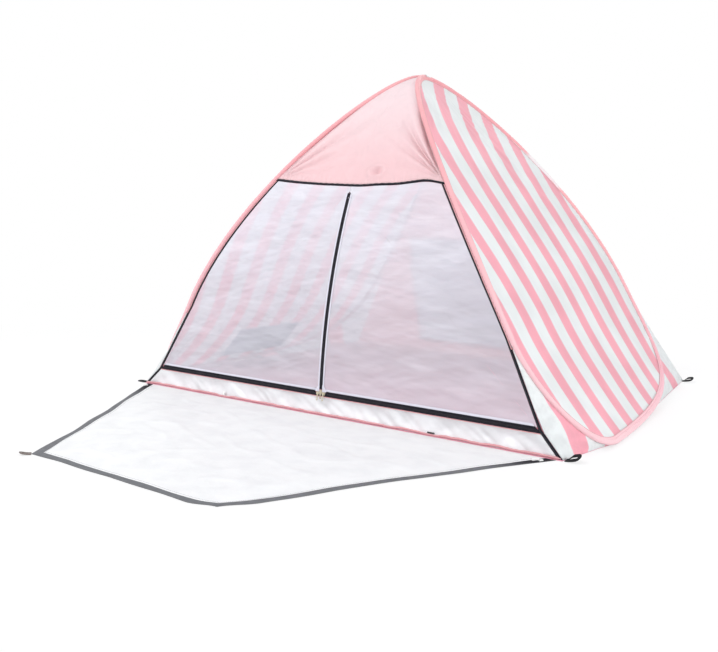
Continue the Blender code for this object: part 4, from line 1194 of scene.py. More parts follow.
def fold_rounding(x, z):
    """How far forward the net lies at a leaf's fold, so that the fold is round and not a kink."""
    if z >= FOLD_TOP.z - SHEET or z <= CENTRE_TAPE_LOW:
        return 0.0
    fold, edge = fold_point(z), outer_edge(z)
    leaf_slope = (fold.y - arc_y(z)) / max(fold.x - TAPE_OUT, SHEET)
    side_slope = (edge.y - fold.y) / max(edge.x - fold.x, SHEET)
    reach = 0.7 * min(0.10, fold.x - TAPE_OUT, panel_edge_x(z) - fold.x)
    away = abs(abs(x) - fold.x)
    if reach <= SHEET or away >= reach:
        return 0.0
    return -(side_slope - leaf_slope) * (reach - away) ** 2 / (4 * reach)


def net_height(point, _down, _across):
    """Slack in the net: long folds, finer creases and a fan at each top corner, none where it is sewn."""
    slack = shape().net_slack
    z = point.z
    edge_x = panel_edge_x(min(z, DOOR_TOP))
    across = abs(point.x)
    inside = smooth(0.0, 0.05, edge_x - across) * smooth(0.008, 0.05, across)
    inside *= smooth(UPPER_TAPE_TOP, UPPER_TAPE_TOP + 0.04, z) * (1 - smooth(DOOR_TOP - 0.04, DOOR_TOP, z))
    folds = net_fold(point, 0.055, 0.20, 6.0, 2.0) + 0.7 * net_fold(point, 0.040, -0.35, 5.0, 8.0)
    creases = -abs(net_fold(point, 0.024, 0.30, 6.0, 4.0)) - 0.8 * abs(net_fold(point, 0.020, -0.15, 7.0, 6.0))
    corner = FRONT_RIDGE.at(DOOR_TOP).x - across
    far = math.hypot(corner, DOOR_TOP - z)
    turned = math.atan2(DOOR_TOP - z, corner + 1e-4)
    fan = math.sin(turned * 22) * smooth(0.0, 0.04, far) * (1 - smooth(0.06, 0.22, far))
    sewn = smooth(0.0, 0.02, edge_x - across)
    return slack * (inside * (folds + 0.9 * creases) + 0.35 * fan * sewn) + fold_rounding(point.x, z)


def netting(name, rows, nodes, body):
    rows = hung(raised(rows, (0, -1, 0.3), net_height))
    finish = finish_named("door_net", net)
    return cloth(name, rows, finish, nodes, "door_mesh", body, thickness=0.0)


def fixed_net_span(z):
    first = SEAM_GAP if z > FOLD_TOP.z else max(SEAM_GAP, fold_point(z).x)
    return first, panel_edge_x(z)


def make_fixed_net():
    """The part of the net outside each leaf's fold, sewn in all round."""
    low = FOLD_FOOT.z
    while fixed_net_span(low)[1] - fixed_net_span(low)[0] < LEVEL_STEP:
        low += LEVEL_STEP / 2
    for word, side in SIDES:
        rows = sided(front_rows(with_levels(falling(DOOR_TOP, low, 120), [FOLD_TOP.z]), fixed_net_span, 30), side)
        netting(f"{word}_side_net", rows, [f"{word}_fixed_mesh"], ROOT)


BINDING_WIDTH = 0.0056
# Teeth start this far from their zip's line, clear of a slider's post
TEETH_IN = 0.00072
# The leaf's corner tab is this far from the centre zip and this high, clear of the parked sliders
TAB_IN = 0.0056
TAB_LOW = 0.0752
# The centre zip stays closed above its slider's highest place, whatever the leaves do
CLOSED_FROM = 0.7062
# How far behind a zip its backing strip is, clear of a slider's rear plate
BACKING_DEPTH = 0.0028
TOP_BACKING_DEPTH = 0.0056  # behind the slider at its highest place
# How much of a tape its binding covers
BINDING_LAP = 0.0034
TAPE_OUT = ZIP_SLIT / 2 + ZIP_TAPE_WIDTH
NET_IN = TAPE_OUT + SEAM_GAP


def make_leaf(word, side):
    """One half of the net door, with its halves of both zips and the white strips beside them."""
    body = f"{word}_door_leaf"
    tip = CENTRE_ZIP_TOP
    while leaf_edge_x(tip) < ZIP_SLIT / 2 + SHEET:
        tip -= SHEET / 2
    black = zip_black("door_zip_tape")
    white = finish_named("zip_binding", trim(colours().binding))

    def strips(part, top, foot, gap=SEAM_GAP):
        """A strip of the centre zip that swings with the leaf, and the top of it that stays closed."""
        return (part, body, CLOSED_FROM - gap, foot, 90), (f"{part}_top", ROOT, top, CLOSED_FROM, 6)

    for part, carrier, top, foot, count in strips("tape", tip, CENTRE_TAPE_LOW, 0.0):
        levels = falling(top - SEAM_GAP / 2, foot, count)
        rows = front_rows(levels, lambda z: (ZIP_SLIT / 2, min(TAPE_OUT, leaf_edge_x(z))), 4)
        rows = hung(sided(raised(rows, FORWARD, lambda p, d, a: 0.0004 * cloud(p, 0.03) * a), side))
        node = [f"{word}_centre_zip_tape"]
        thicken(place(f"{word}_centre_{part}", grid_mesh("tape", rows), black, carrier, node, "black_zip"))
    levels = falling(LEAF_LOW + ZIP_TAPE_WIDTH, LEAF_LOW, 4)
    rows = sided(front_rows(levels, lambda z: (NOTCH_HALF_WIDTH, leaf_edge_x(z)), 90), side)
    node = [f"{word}_bottom_zip_tape"]
    thicken(place(f"{word}_bottom_tape", grid_mesh("tape", rows), black, body, node, "black_zip"))

    low = UPPER_TAPE_TOP + SEAM_GAP
    chamfer_top = CENTRE_TAPE_LOW + NOTCH_HALF_WIDTH - NET_IN
    high = tip
    while leaf_edge_x(high) < NET_IN + SHEET:
        high -= SHEET / 2

    def inner_x(z):
        share = min(1.0, (z - low) / (chamfer_top - low))
        return mix(NOTCH_HALF_WIDTH, NET_IN, share)

    levels = with_levels(falling(high, low, 130), [chamfer_top])
    rows = sided(front_rows(levels, lambda z: (inner_x(z), fold_point(z).x), 90), side)
    netting(f"{word}_leaf_net", rows, [f"{word}_mesh_leaf"], body)

    def strip_span(z):
        inner = inner_x(z) - BINDING_LAP
        return inner, min(inner + BINDING_WIDTH, leaf_edge_x(z))

    crown = CENTRE_ZIP_TOP - (NET_IN - BINDING_LAP + SHEET) / FOLD_SLANT
    for part, carrier, top, foot, count in strips("binding", crown, low):
        rows = sided(front_rows(falling(top, foot, count), strip_span, 4), side)
        rows = hung(raised(rows, FORWARD, lambda p, d, a: 0.0010 + 0.0004 * math.sin(math.pi * a)))
        thicken(place(f"{word}_centre_{part}", grid_mesh("binding", rows), white, carrier), BINDING)
    levels = falling(chamfer_top + 0.004, TAB_LOW, 14)
    rows = sided(front_rows(levels, lambda z: (TAB_IN, inner_x(max(z, low)) + 0.0012), 8), side)
    rows = raised(rows, FORWARD, lambda p, d, a: 0.0019 + 0.0002 * math.sin(math.pi * a))
    thicken(place(f"{word}_corner_tab", grid_mesh("tab", rows), white, body), 0.0005)
    levels = falling(low + BINDING_WIDTH, low - BINDING_LAP / 2, 4)
    rows = sided(front_rows(levels, lambda z: (inner_x(low), leaf_edge_x(z) - SHEET), 60), side)
    rows = raised(rows, FORWARD, lambda p, d, a: 0.0010 + 0.0005 * math.sin(math.pi * d))
    thicken(place(f"{word}_bottom_binding", grid_mesh("binding", rows), white, body), BINDING)

    teeth = zip_teeth()
    for part, carrier, top, foot, _ in strips("teeth", tip - 0.002, CENTRE_TAPE_LOW):
        line = hung([[Vector((TEETH_IN * side, arc_y(z), z)) for z in falling(top, foot, 60)]])[0]
        coil(f"{word}_centre_{part}", line, RIGHTWARD * side, FORWARD, teeth, carrier)
    z = ZIP_LINE + TEETH_IN
    line = [Vector((x * side, low_y(z), z)) for x in (NOTCH_HALF_WIDTH, leaf_edge_x(LEAF_LOW))]
    coil(f"{word}_bottom_teeth", line, UPWARD, FORWARD, teeth, body)


def make_zip_backing():
    """Narrow black strips behind the door's two zips, so that no light shows between their teeth."""
    black = zip_black("door_zip_tape")

    def strip(name, rows, body=ROOT):
        thicken(place(name, grid_mesh("backing", rows), black, body), BACKING)

    levels = falling(CLOSED_FROM - 4 * SHEET, CENTRE_TAPE_LOW, 60)
    across = ((-0.0105, 0.3), (-0.0056, 1.0), (-0.0024, 1.0), (0.0008, 1.0))
    rows = [[Vector((x, arc_y(z) + BACKING_DEPTH * depth, z)) for z in levels] for x, depth in across]
    strip("centre_zip_backing", hung(rows), "left_door_leaf")
    rows = []
    for z, depth in ((0.0612, 0.3), (0.0642, 1.0), (0.0671, 1.0), (0.0701, 1.0)):
        row = front_row(*panel_span(z), z, 160)
        rows.append([point + BACKWARD * BACKING_DEPTH * depth for point in row])
    strip("bottom_zip_backing", rows)
    for name, half, high, low, plane_y, depth in (
        ("zip_top_backing", 0.0045, CLOSED_FROM + 0.0128, CLOSED_FROM + 0.0010, arc_y, TOP_BACKING_DEPTH),
        ("zip_corner_backing", 0.0200, TAB_LOW - 0.0006, ZIP_LINE + 0.0008, low_y, BACKING_DEPTH),
    ):
        across = np.linspace(-half, half, 9)
        rows = [[Vector((x, plane_y(z) + depth, z)) for x in across] for z in falling(high, low, 5)]
        strip(name, hung(rows) if plane_y is arc_y else rows)


def make_opening_tapes():
    """The zip that the porch closes onto: along the hood and down both sides to the floor."""
    black = zip_black("opening_zip_tape", (1, 0, 1))
    teeth = zip_teeth()
    rows = front_rows(falling(HOOD_LOW - SEAM_GAP, DOOR_TOP + SEAM_GAP, 5), ridge_span, 90)
    rows = hung(raised(rows, FORWARD, lambda p, d, a: 0.0007 * cloud(p, 0.05, seed=4.0)))
    cloth("opening_top_tape", rows, black, ["opening_zip_tape_top"], "black_zip")
    middle = [mix(upper, lower, 0.5) for upper, lower in zip(rows[1], rows[3])]
    coil("opening_top_teeth", middle, UPWARD, FORWARD, teeth, ROOT, OPENING_TEETH)
    for word, side in SIDES:
        rows = []
        for z in falling(DOOR_TOP, FOOT, 150):
            first, last = front_row(inner_edge_x(z), outer_edge_x(z), z, 2)
            rows.append([mix(first, last, j / 3) for j in range(4)])
        rows = hung(sided(raised(rows, FORWARD, lambda p, d, a: 0.0007 * cloud(p, 0.05, seed=9.0)), side))
        name = f"opening_zip_tape_{word}"
        thicken(place(f"opening_{word}_tape", grid_mesh(name, rows), black, ROOT, [name], "black_zip"))
        line = [mix(row[0], row[1], 0.6) for row in rows]
        hem = [[row[2], mix(row[2], row[3], 0.5), row[3]] for row in rows if row[0].z > FORE_Z * 0.9]
        hem = [[point + FORWARD * out for point, out in zip(row, (0.0012, 0.0016, 0.0012))] for row in hem]
        trimmed = finish_named("hem_cloth", pink_cloth)
        thicken(place(f"opening_{word}_hem", grid_mesh("hem", hem), trimmed, ROOT), BINDING)
        coil(f"opening_{word}_teeth", line, RIGHTWARD * side, FORWARD, teeth, ROOT, OPENING_TEETH)


# Sill, its zip tape, the roll at the floor's edge, and the porch's tab

def sill_fold(point, down, _across):
    """Soft folds that hang between the zip and the floor; they fall inwards, clear of what lies in front."""
    x, z = point.x, point.z
    broad = 0.5 + 0.5 * math.sin((x + 0.5 * z) * math.tau / 0.165 + 2.6 * noise.noise((x * 6, 1.0, 0.0)))
    slant = 0.5 + 0.5 * noise.noise(((x - 1.1 * z) / 0.045, z / 0.09, 7.0))
    crease = max(0.0, 1 - 2.4 * abs(noise.noise(((x + 1.3 * z) / 0.060, z / 0.13, 3.0))))
    held = max(0.0, math.sin(math.pi * down)) ** 0.6 * smooth(0.0, 0.06, panel_edge_x(z) - abs(x))
    foot_room = 0.0024 * smooth(0.80, 0.97, down)
    return -shape().sill_fold * held * (0.55 * broad + 0.35 * slant + 0.45 * crease) - foot_room


def make_sill():
    ends = [front_row(*panel_span(z), z, 240) for z in (LOWER_TAPE_LOW - SEAM_GAP, FOOT)]
    rows = [[mix(high, low, k / 17) for high, low in zip(*ends)] for k in range(18)]
    rows = raised(rows, FORWARD, sill_fold)
    finish = own_finish(silver_cloth)
    cloth("sill", rows, finish, ["front_sill"], "silver_cloth")
    levels = falling(ZIP_LINE - ZIP_SLIT / 2, LOWER_TAPE_LOW, 4)
    name = "bottom_zip_lower_tape"
    mesh = grid_mesh(name, front_rows(levels, panel_span, 160))
    thicken(place("sill_zip_tape", mesh, zip_black("door_zip_tape"), ROOT, [name], "black_zip"))
    edge = front_rows(falling(LOWER_TAPE_LOW + 0.0006, LOWER_TAPE_LOW - 0.0018, 4), panel_span, 160)
    edge = raised(edge, FORWARD, lambda p, d, a: 0.0010 + 0.0004 * math.sin(math.pi * d))
    trimmed = finish_named("hem_cloth", pink_cloth)
    thicken(place("sill_zip_edge", grid_mesh("edge", edge), trimmed, ROOT), BINDING)
    teeth = zip_teeth()
    z = ZIP_LINE - TEETH_IN
    line = [Vector((x, low_y(z), z)) for x in panel_span(z)]
    coil("sill_teeth", line, -UPWARD, FORWARD, teeth, ROOT)


ROLL_FULLNESS = 1.25
ROLL_SETBACK = 0.0011


def loose_roll(x):
    """0 where the tab and the toggle sit on the roll, and 1 away from them."""
    return smooth(0.016, 0.045, abs(abs(x) - TIE_X))


def make_piping():
    """The pink roll along the floor's front edge, uneven, and clear of the porch when it folds up."""
    thick = ROLL_FULLNESS * PIPING_RADIUS
    y = FRONT_EDGE + ROLL_SETBACK + thick
    z = SHEET + SEAM_GAP
    half = CORNER_X - 2 * PIPING_RADIUS
    line = evenly([Vector((-half, y, z)), Vector((half, y, z))], 0.0035)
    for point in line:
        free = smooth(0.0, 0.08, half - abs(point.x)) * loose_roll(point.x)
        point.y += 0.0012 * free * (0.5 + 0.5 * noise.noise((point.x / 0.07, 2.0, 0.0)))
        lift = 0.45 + noise.noise((point.x / 0.06, 9.0, 0.0)) + 0.4 * noise.noise((point.x / 0.02, 6.0, 0.0))
        point.z += mix(PIPING_RADIUS, thick, loose_roll(point.x)) + 0.0032 * free * max(0.0, lift)

    def radius_at(_, angle, so_far):
        end = smooth(0.0, 0.006, so_far) * smooth(0.0, 0.006, 2 * half - so_far)
        lump = noise.noise((so_far / 0.022, 0.8 * math.cos(angle), 0.8 * math.sin(angle)))
        ring = math.sin(so_far * math.tau / 0.013 + 4 * noise.noise((so_far / 0.05, 0.0, 5.0)))
        full = mix(0.98, min(ROLL_FULLNESS, 1.08 + 0.20 * lump + 0.07 * ring), loose_roll(so_far - half))
        return PIPING_RADIUS * (0.4 + 0.6 * end) * full

    rows = ring_rows(line, radius_at, 12)
    finish = own_finish(pink_cloth)
    place("floor_edge_roll", grid_mesh("roll", rows, closed=True), finish, ROOT, ["front_piping"], "pink_cloth")


def make_tab():
    """The porch's cloth tab, from the sill down to the middle of the roll."""
    tie_length, tie_radius = 0.024, 0.0025
    seat_z = SHEET + 2 * SEAM_GAP + 2 * PIPING_RADIUS
    high = seat_z + tie_radius + tie_length / 2
    seat = Vector((-TIE_X, FRONT_EDGE + SEAM_GAP + PIPING_RADIUS, seat_z))
    crown = Vector((-TIE_X, low_y(high) - SHEET - SEAM_GAP - 0.001, high))
    half = Vector((tie_length / 4, 0, 0))
    middles = [mix(crown, seat, d / 9) for d in range(10)]
    rows = [[mix(middle - half, middle + half, a / 6) for a in range(7)] for middle in middles]
    rows = raised(rows, FORWARD, lambda p, d, a: 0.0010 * math.sin(math.pi * d) * (1 - (2 * a - 1) ** 2))
    white = white_tape()
    cloth("porch_tab", rows, white, ["left_porch_tab"], "white_tape")


# Rear wall

REAR_FOOT_Y = REAR_EDGE - SHEET
COVER_LOW = WINDOW_LOW - COVER_MARGIN
COVER_HIGH = WINDOW_HIGH + COVER_MARGIN


def rear_edge(z):
    if z >= REAR_Z:
        return REAR_RIDGE.at(z)
    start = REAR_RIDGE.at(REAR_Z)
    share = (z - FOOT) / (REAR_Z - FOOT)
    return Vector((mix(CORNER_X - SEAM, start.x, share), mix(REAR_FOOT_Y, start.y, share), z))


def rear_point(x, z, outward=0.0):
    """A point of the rear wall, or of a piece that lies on its outside."""
    slope = (rear_edge(z + SHEET).y - rear_edge(max(z - SHEET, FOOT)).y) / (2 * SHEET)
    return Vector((x, rear_edge(z).y + outward * math.sqrt(1 + slope * slope), z))


def rear_row(half, z, columns, outward=0.0):
    middle = rear_point(0, z, outward)
    return [Vector((mix(-half, half, j / columns), middle.y, z)) for j in range(columns + 1)]


def rear_height(point, _down, _across):
    """Slack and sewn-edge puckers of the rear wall."""
    half = rear_edge(point.z).x
    reach = half - abs(point.x)
    inside = smooth(0.0, 0.06, reach) * smooth(0.0, 0.05, point.z)
    slack = shape().wall_slack * inside * cloud(point, 0.16, (1.2, 1, 0.5), 12.0)
    edge = shape().edge_pucker * bump(reach, 0.012, 0.016)
    return 0.5 * slack + 0.5 * edge * math.sin(point.z * math.tau / 0.031 + 3 * cloud(point, 0.06, seed=2.0))


def make_rear_wall():
    """The rear wall with its window opening, the window's net, its cover and a binding round it."""
    side_columns, middle_columns = 14, 48
    levels = with_levels(falling(PEAK_HEIGHT - PEAK_MARGIN, FOOT, 130, "high"), [WINDOW_LOW, WINDOW_HIGH])
    rows = []
    for z in levels:
        half = rear_edge(z).x
        window = min(WINDOW_HALF_WIDTH, half * WINDOW_HALF_WIDTH / rear_edge(WINDOW_HIGH).x)
        outer = [mix(-half, -window, k / side_columns) for k in range(side_columns)]
        inner = [mix(-window, window, k / middle_columns) for k in range(middle_columns + 1)]
        places = outer + inner + [-x for x in reversed(outer)]
        y = rear_edge(z).y
        rows.append([Vector((x, y, z)) for x in places])

    def keep(i, j):
        in_height = levels[i] <= WINDOW_HIGH and levels[i + 1] >= WINDOW_LOW
        return not (in_height and side_columns <= j < side_columns + middle_columns)

    rows = raised(rows, BACKWARD, rear_height)
    finish = own_finish(pink_cloth)
    cloth("rear_wall", rows, finish, ["rear_panel"], "silver_cloth", keep=keep)

    def quilted(point, down, across):
        return 0.0010 * cloud(point, 0.09, seed=6.0) * math.sin(math.pi * down) * math.sin(math.pi * across)

    half = WINDOW_HALF_WIDTH - SEAM_GAP
    rows = [rear_row(half, z, 60) for z in falling(WINDOW_HIGH - SEAM_GAP, WINDOW_LOW + SEAM_GAP, 60)]
    rows = raised(rows, BACKWARD, lambda p, d, a: -abs(quilted(p, d, a)))
    finish = finish_named("door_net", net)
    cloth("window_net", rows, finish, ["rear_window_mesh"], "door_mesh", thickness=0.0)

    half = WINDOW_HALF_WIDTH + COVER_MARGIN
    out = SHEET + SEAM_GAP
    rows = [rear_row(half, z, 70, out) for z in falling(COVER_HIGH, COVER_LOW, 64)]
    rows = raised(rows, BACKWARD, lambda p, d, a: 2.5 * abs(quilted(p, d, a)))
    finish = finish_named("cover_cloth", silver_cloth)
    node, body = ["rear_window_cover"], "window_cover"
    cloth("window_cover", rows, finish, node, "silver_cloth", body)
    line = [point + BACKWARD * CLOTH * 0.6 for point in inset_border(rows, 1)]
    thread = finish_named("pale_thread", trim(shaded(colours().silver, 0.8)))
    stitches("window_cover_stitches", line, BACKWARD, thread, "window_cover")


# Side walls

def side_chains():
    """The side wall's front and rear edges, both falling from its top point to its bottom point."""
    ring = [RING[i] + inward(RING, i) * EDGE_CLEARANCE for i in range(RING_COUNT)]
    top = max(range(RING_COUNT), key=lambda i: ring[i].z)
    low = min(range(RING_COUNT), key=lambda i: ring[i].z)
    front = [ring[i % RING_COUNT] for i in range(top, low + 1 + (RING_COUNT if low < top else 0))]
    back = [ring[i % RING_COUNT] for i in range(low, top + 1 + (RING_COUNT if top < low else 0))]
    return Edge(front), Edge(back[::-1])


FRONT_CHAIN, BACK_CHAIN = side_chains()
WALL_HIGH = FRONT_CHAIN.points[0].z
WALL_LOW = FRONT_CHAIN.points[-1].z


def wall_height(point, _down, across):
    """Rolls that fan down from the peak, and puckers where the wall is sewn to its sleeve."""
    first, last = FRONT_CHAIN.at(point.z), BACK_CHAIN.at(point.z)
    width = max(1e-4, last.y - first.y)
    reach = min(across, 1 - across) * width
    slope = (point.y - PEAK_Y) / max(0.10, PEAK_HEIGHT - point.z)
    spot = (slope, point.z, 0.0)
    fan = cloud(spot, 1.0, (5.5, 1.3, 1), 3.0) + 0.5 * cloud(spot, 1.0, (13, 2.6, 1), 8.0)
    inside = smooth(0.0, 0.07, reach) * smooth(0.01, 0.10, point.z) * smooth(0.10, 0.60, width)
    roll = shape().wall_slack * inside * fan
    run = point.z + 0.7 * point.y if across < 0.5 else point.z - 0.7 * point.y
    tight = 0.55 + 0.45 * cloud((run, across, 0.0), 0.10, seed=11.0)
    pucker = math.sin(run * math.tau / 0.026 + 3.5 * cloud((run, 0.0, 0.0), 0.05, seed=2.0))
    sewn = shape().edge_pucker * tight * pucker * bump(reach, 0.010, 0.017)
    return roll + sewn


def make_walls():
    finish = own_finish(wall_cloth)
    for word, side in SIDES:
        rows = []
        for z in falling(WALL_HIGH - 0.0006, WALL_LOW + 0.0006, 170, "both"):
            first, last = FRONT_CHAIN.at(z), BACK_CHAIN.at(z)
            rows.append([mix(first, last, j / 129) for j in range(130)])
        rows = sided(raised(rows, RIGHTWARD, wall_height), side)
        cloth(f"{word}_wall", rows, finish, [f"{word}_side_panel"], "striped_cloth")


def make_pocket():
    """A flat pocket sewn low on the inside of the left wall, with a hem along its mouth."""
    rows = []
    for z in falling(POCKET_HIGH, POCKET_LOW, 24):
        first, last = FRONT_CHAIN.at(z), BACK_CHAIN.at(z)
        slope = (first.x - FRONT_CHAIN.at(z + LEVEL_STEP).x) / LEVEL_STEP
        aside = (SHEET + 2 * SEAM_GAP) * math.sqrt(1 + slope * slope)
        row = []
        for k in range(61):
            y = mix(POCKET_FRONT_Y, POCKET_REAR_Y, k / 60)
            row.append(Vector((mix(first.x, last.x, (y - first.y) / (last.y - first.y)) - aside, y, z)))
        rows.append(row)

    def height(point, down, across):
        puff = math.sin(math.pi * across) * math.sin(math.pi * down) * 0.0012 * (1 + cloud(point, 0.05, seed=3.0))
        hem = 0.0006 * bump(down, 0.07, 0.05)
        return puff + hem + 0.0004

    rows = sided(raised(rows, -RIGHTWARD, height), -1)
    finish = own_finish(pocket_cloth)
    cloth("pocket", rows, finish, ["storage_pocket"], "grey_pocket")
    line = [point + RIGHTWARD * CLOTH * 0.6 for point in inset_border(rows, 1)]
    thread = finish_named("pocket_thread", trim(shaded(colours().pocket, 1.3)))
    stitches("pocket_stitches", line, RIGHTWARD, thread)


# Sleeves, seams and the patch at the peak

JOINT_START = LOW_INDEX - 0.5
JOINT_END = LOW_INDEX + 0.5
# The colour along each length of sleeve from its start: share of the way, and shade
PINK_BAND = (0.93, 0.46, 0.48)
ROSE_BAND = (0.90, 0.40, 0.43)
WHITE_BAND = (0.88, 0.86, 0.87)
FRONT_BANDS = ((0.0, PINK_BAND), (0.35, ROSE_BAND), (0.7, (0.94, 0.56, 0.60)), (1.0, (0.94, 0.62, 0.66)))
REAR_BANDS = (
    (0.0, (0.94, 0.62, 0.66)), (0.28, (0.94, 0.55, 0.62)), (0.60, PINK_BAND), (0.685, PINK_BAND),
    (0.695, WHITE_BAND), (0.765, WHITE_BAND), (0.775, ROSE_BAND), (1.0, ROSE_BAND),
)


def run_of(ring, start, end):
    """Part of the closed ring between two places, given in steps of the solids' hoop."""
    first, last = start * FINER, end * FINER
    count = math.ceil(last) - math.floor(first)
    places = [mix(first, last, k / count) for k in range(count + 1)]
    points = []
    for spot in places:
        i = math.floor(spot)
        points.append(mix(ring[i % len(ring)], ring[(i + 1) % len(ring)], spot - i))
    return points


def make_sleeve(name, piece, points, bands, gather, side):
    """A length of sleeve, gathered in rings round the hoop's wire."""
    pucker = shape().sleeve_pucker
    seed = 3.0 + side + len(piece)
    points = evenly(points, 0.0032)
    whole = line_length(points)

    def radius_at(_, angle, so_far):
        phase = 5.0 * noise.noise((so_far / 0.06, seed, 0.0)) + 1.2 * math.sin(angle)
        much = 0.5 + 0.5 * noise.noise((so_far / 0.09, seed, 4.0))
        ring = math.sin(so_far * math.tau / 0.0135 + phase)
        lump = noise.noise((so_far / 0.03, 1.3 * math.cos(angle), 1.3 * math.sin(angle) + seed))
        return SLEEVE_RADIUS + pucker * gather * (much * ring + 0.7 * lump)

    rows = ring_rows(points, radius_at, 18)
    mesh = grid_mesh(piece, rows, closed=True)
    set_along(mesh, rows)
    finish = finish_named(f"{piece}_cloth", lambda title: banded_sleeve(title, bands))
    made = place(f"{name}_cloth", mesh, finish, ROOT, [name], "pink_cloth")
    thicken(made).offset = -1.0


RIBBON_REACH = 0.0072
FRONT_SHARE = JOINT_START / HOOP_COUNT
REAR_SHARE = JOINT_END / HOOP_COUNT


def make_ribbon(word, side):
    """The sleeve's flat sewn edge, lying on the side wall; returns the line of its seam."""
    count = 4 * RING_COUNT // 3
    rows = []
    seam = []
    for k in range(count + 1):
        place_on_ring = (k % count) * RING_COUNT / count
        i = math.floor(place_on_ring)
        share = place_on_ring - i
        after = (i + 1) % RING_COUNT
        centre = mix(RING[i], RING[after], share)
        aside = mix(inward(RING, i), inward(RING, after), share).normalized()
        out = tangent(RING, i).cross(aside).normalized()
        if out.x < 0:
            out = -out
        pucker = shape().edge_pucker * (0.5 + 0.5 * noise.noise((k / 9.0, 3.0, 0.0)))
        row = []
        for j in range(5):
            reach = mix(SLEEVE_RADIUS * 0.7, EDGE_CLEARANCE + RIBBON_REACH, j / 4)
            lift = 0.0012 + pucker * (1 - (j / 4) ** 2) * math.sin(math.pi * j / 4 + k * 0.9)
            row.append(centre + aside * reach + out * max(0.0009, lift))
        rows.append(row)
        seam.append(row[-1].copy())
    rows = sided(rows, side)
    mesh = grid_mesh("ribbon", rows)
    bands = [(spot * FRONT_SHARE, shade) for spot, shade in FRONT_BANDS]
    bands += [(mix(REAR_SHARE, 1.0, spot), shade) for spot, shade in REAR_BANDS]
    finish = finish_named("sleeve_edge", lambda title: banded_sleeve(title, bands))
    set_along(mesh, rows)
    thicken(place(f"{word}_sleeve_edge", mesh, finish, ROOT), BINDING)
    return mirrored(seam, side)


def set_along(mesh, rows):
    """Stores each point's share of the way from the first row to the last, for the sleeve's colours."""
    along = mesh.attributes.new("along", "FLOAT", "POINT")
    nearest = {}
    for k, row in enumerate(rows):
        for point in row:
            nearest[tuple(round(part, 6) for part in point)] = k / (len(rows) - 1)
    values = [nearest.get(tuple(round(part, 6) for part in vert.co), 0.0) for vert in mesh.vertices]
    along.data.foreach_set("value", values)


def make_sleeves():
    deep = seam_roll()
    for word, side in SIDES:
        ring = mirrored(RING, side)
        front = run_of(ring, -0.5, JOINT_START)
        foot = run_of(ring, JOINT_START, JOINT_END)
        back = run_of(ring, JOINT_END, HOOP_COUNT - 0.5)
        make_sleeve(f"{word}_front_sleeve", "front_sleeve", front, FRONT_BANDS, 1.0, side)
        make_sleeve(f"{word}_foot_sleeve", "foot_sleeve", foot, FRONT_BANDS[3:] + FRONT_BANDS[3:], 0.5, side)
        make_sleeve(f"{word}_rear_sleeve", "rear_sleeve", back, REAR_BANDS, 1.25, side)
        seam = make_ribbon(word, side)
        thread_line(f"{word}_wall_seam", seam + seam[:1], 0.0011, deep, ROOT, lumps=0.35)


PATCH_ANGLES = (8, 20, 32, 43, 54, 65, 76, 88, 100)


def make_apex_patch():
    """A short cloth patch laid over both sleeves where the hoops meet at the top."""
    radius = EDGE_CLEARANCE + SHEET / 2 + 0.0006
    rows = []
    for k in range(-6, 7):
        step = k / 6
        ahead = HOOP[1] if step > 0 else HOOP[-1]
        reach = abs(step) * PATCH_LENGTH / 2 / (ahead - HOOP[0]).length
        centre = mix(HOOP[0], ahead, reach)
        right = []
        for degrees in PATCH_ANGLES:
            angle = math.radians(degrees)
            right.append(centre + Vector((math.cos(angle), 0, math.sin(angle))) * radius)
        rows.append(right + mirrored(reversed(right), -1))
    rows = raised(rows, UPWARD, lambda p, d, a: 0.0004 * cloud(p, 0.012, seed=2.0))
    cloth("peak_patch", rows, white_tape(), ["apex_patch"], "white_tape")


# Floor

def floor_side():
    """The floor's right edge from front to back: it bulges to the hoop's foot."""
    touching = [point for point in HOOP[FORE_INDEX:REAR_INDEX] if point.z < FLOOR_NEAR_GROUND]
    bulge = [(point.x - EDGE_CLEARANCE, point.y) for point in touching]
    return [(CORNER_X, FRONT_EDGE + SEAM_GAP)] + bulge + [(CORNER_X, REAR_EDGE)]


FLOOR_SIDE = floor_side()


def floor_side_x(y):
    places = [place_y for _, place_y in FLOOR_SIDE]
    return float(np.interp(y, places, [x for x, _ in FLOOR_SIDE]))


def floor_rise(point, _down, across):
    """Low waves where the floor cloth is slack, none at its edges and none below the ground."""
    edge = min(across, 1 - across) * 2 * CORNER_X
    front = min(point.y - FRONT_EDGE, REAR_EDGE - point.y)
    inside = smooth(0.01, 0.12, edge) * smooth(0.01, 0.12, front)
    wave = max(0.0, cloud(point, 0.22, (1.3, 0.7, 1), 4.0) + 0.15)
    wave += 0.35 * max(0.0, ridged(point, 0.12, (1, 0.6, 1), 9.0))
    return 0.0030 * inside * wave


def make_floor():
    rows = []
    for k in range(110):
        y = mix(REAR_EDGE, FRONT_EDGE + SEAM_GAP, k / 109)
        half = floor_side_x(y)
        rows.append([Vector((mix(-half, half, j / 119), y, SHEET / 2)) for j in range(120)])
    rows = raised(rows, UPWARD, floor_rise)
    finish = own_finish(floor_cloth)
    cloth("groundsheet", rows, finish, ["floor_sheet"], "floor_cloth")
    make_floor_seams()


def make_floor_seams():
    """The seam that joins the floor to the foot of each side's sleeve, between its two gussets."""
    deep = seam_roll()
    for word, side in SIDES:
        places = np.linspace(-0.50, 0.02, 60)
        line = [Vector(((floor_side_x(y) - 0.0004) * side, y, 0.0027)) for y in places]
        thread_line(f"{word}_floor_seam", line, 0.0016, deep, ROOT, 8, lumps=0.2)


# Gussets close the corners between the hoop, the floor's side edge and the end walls

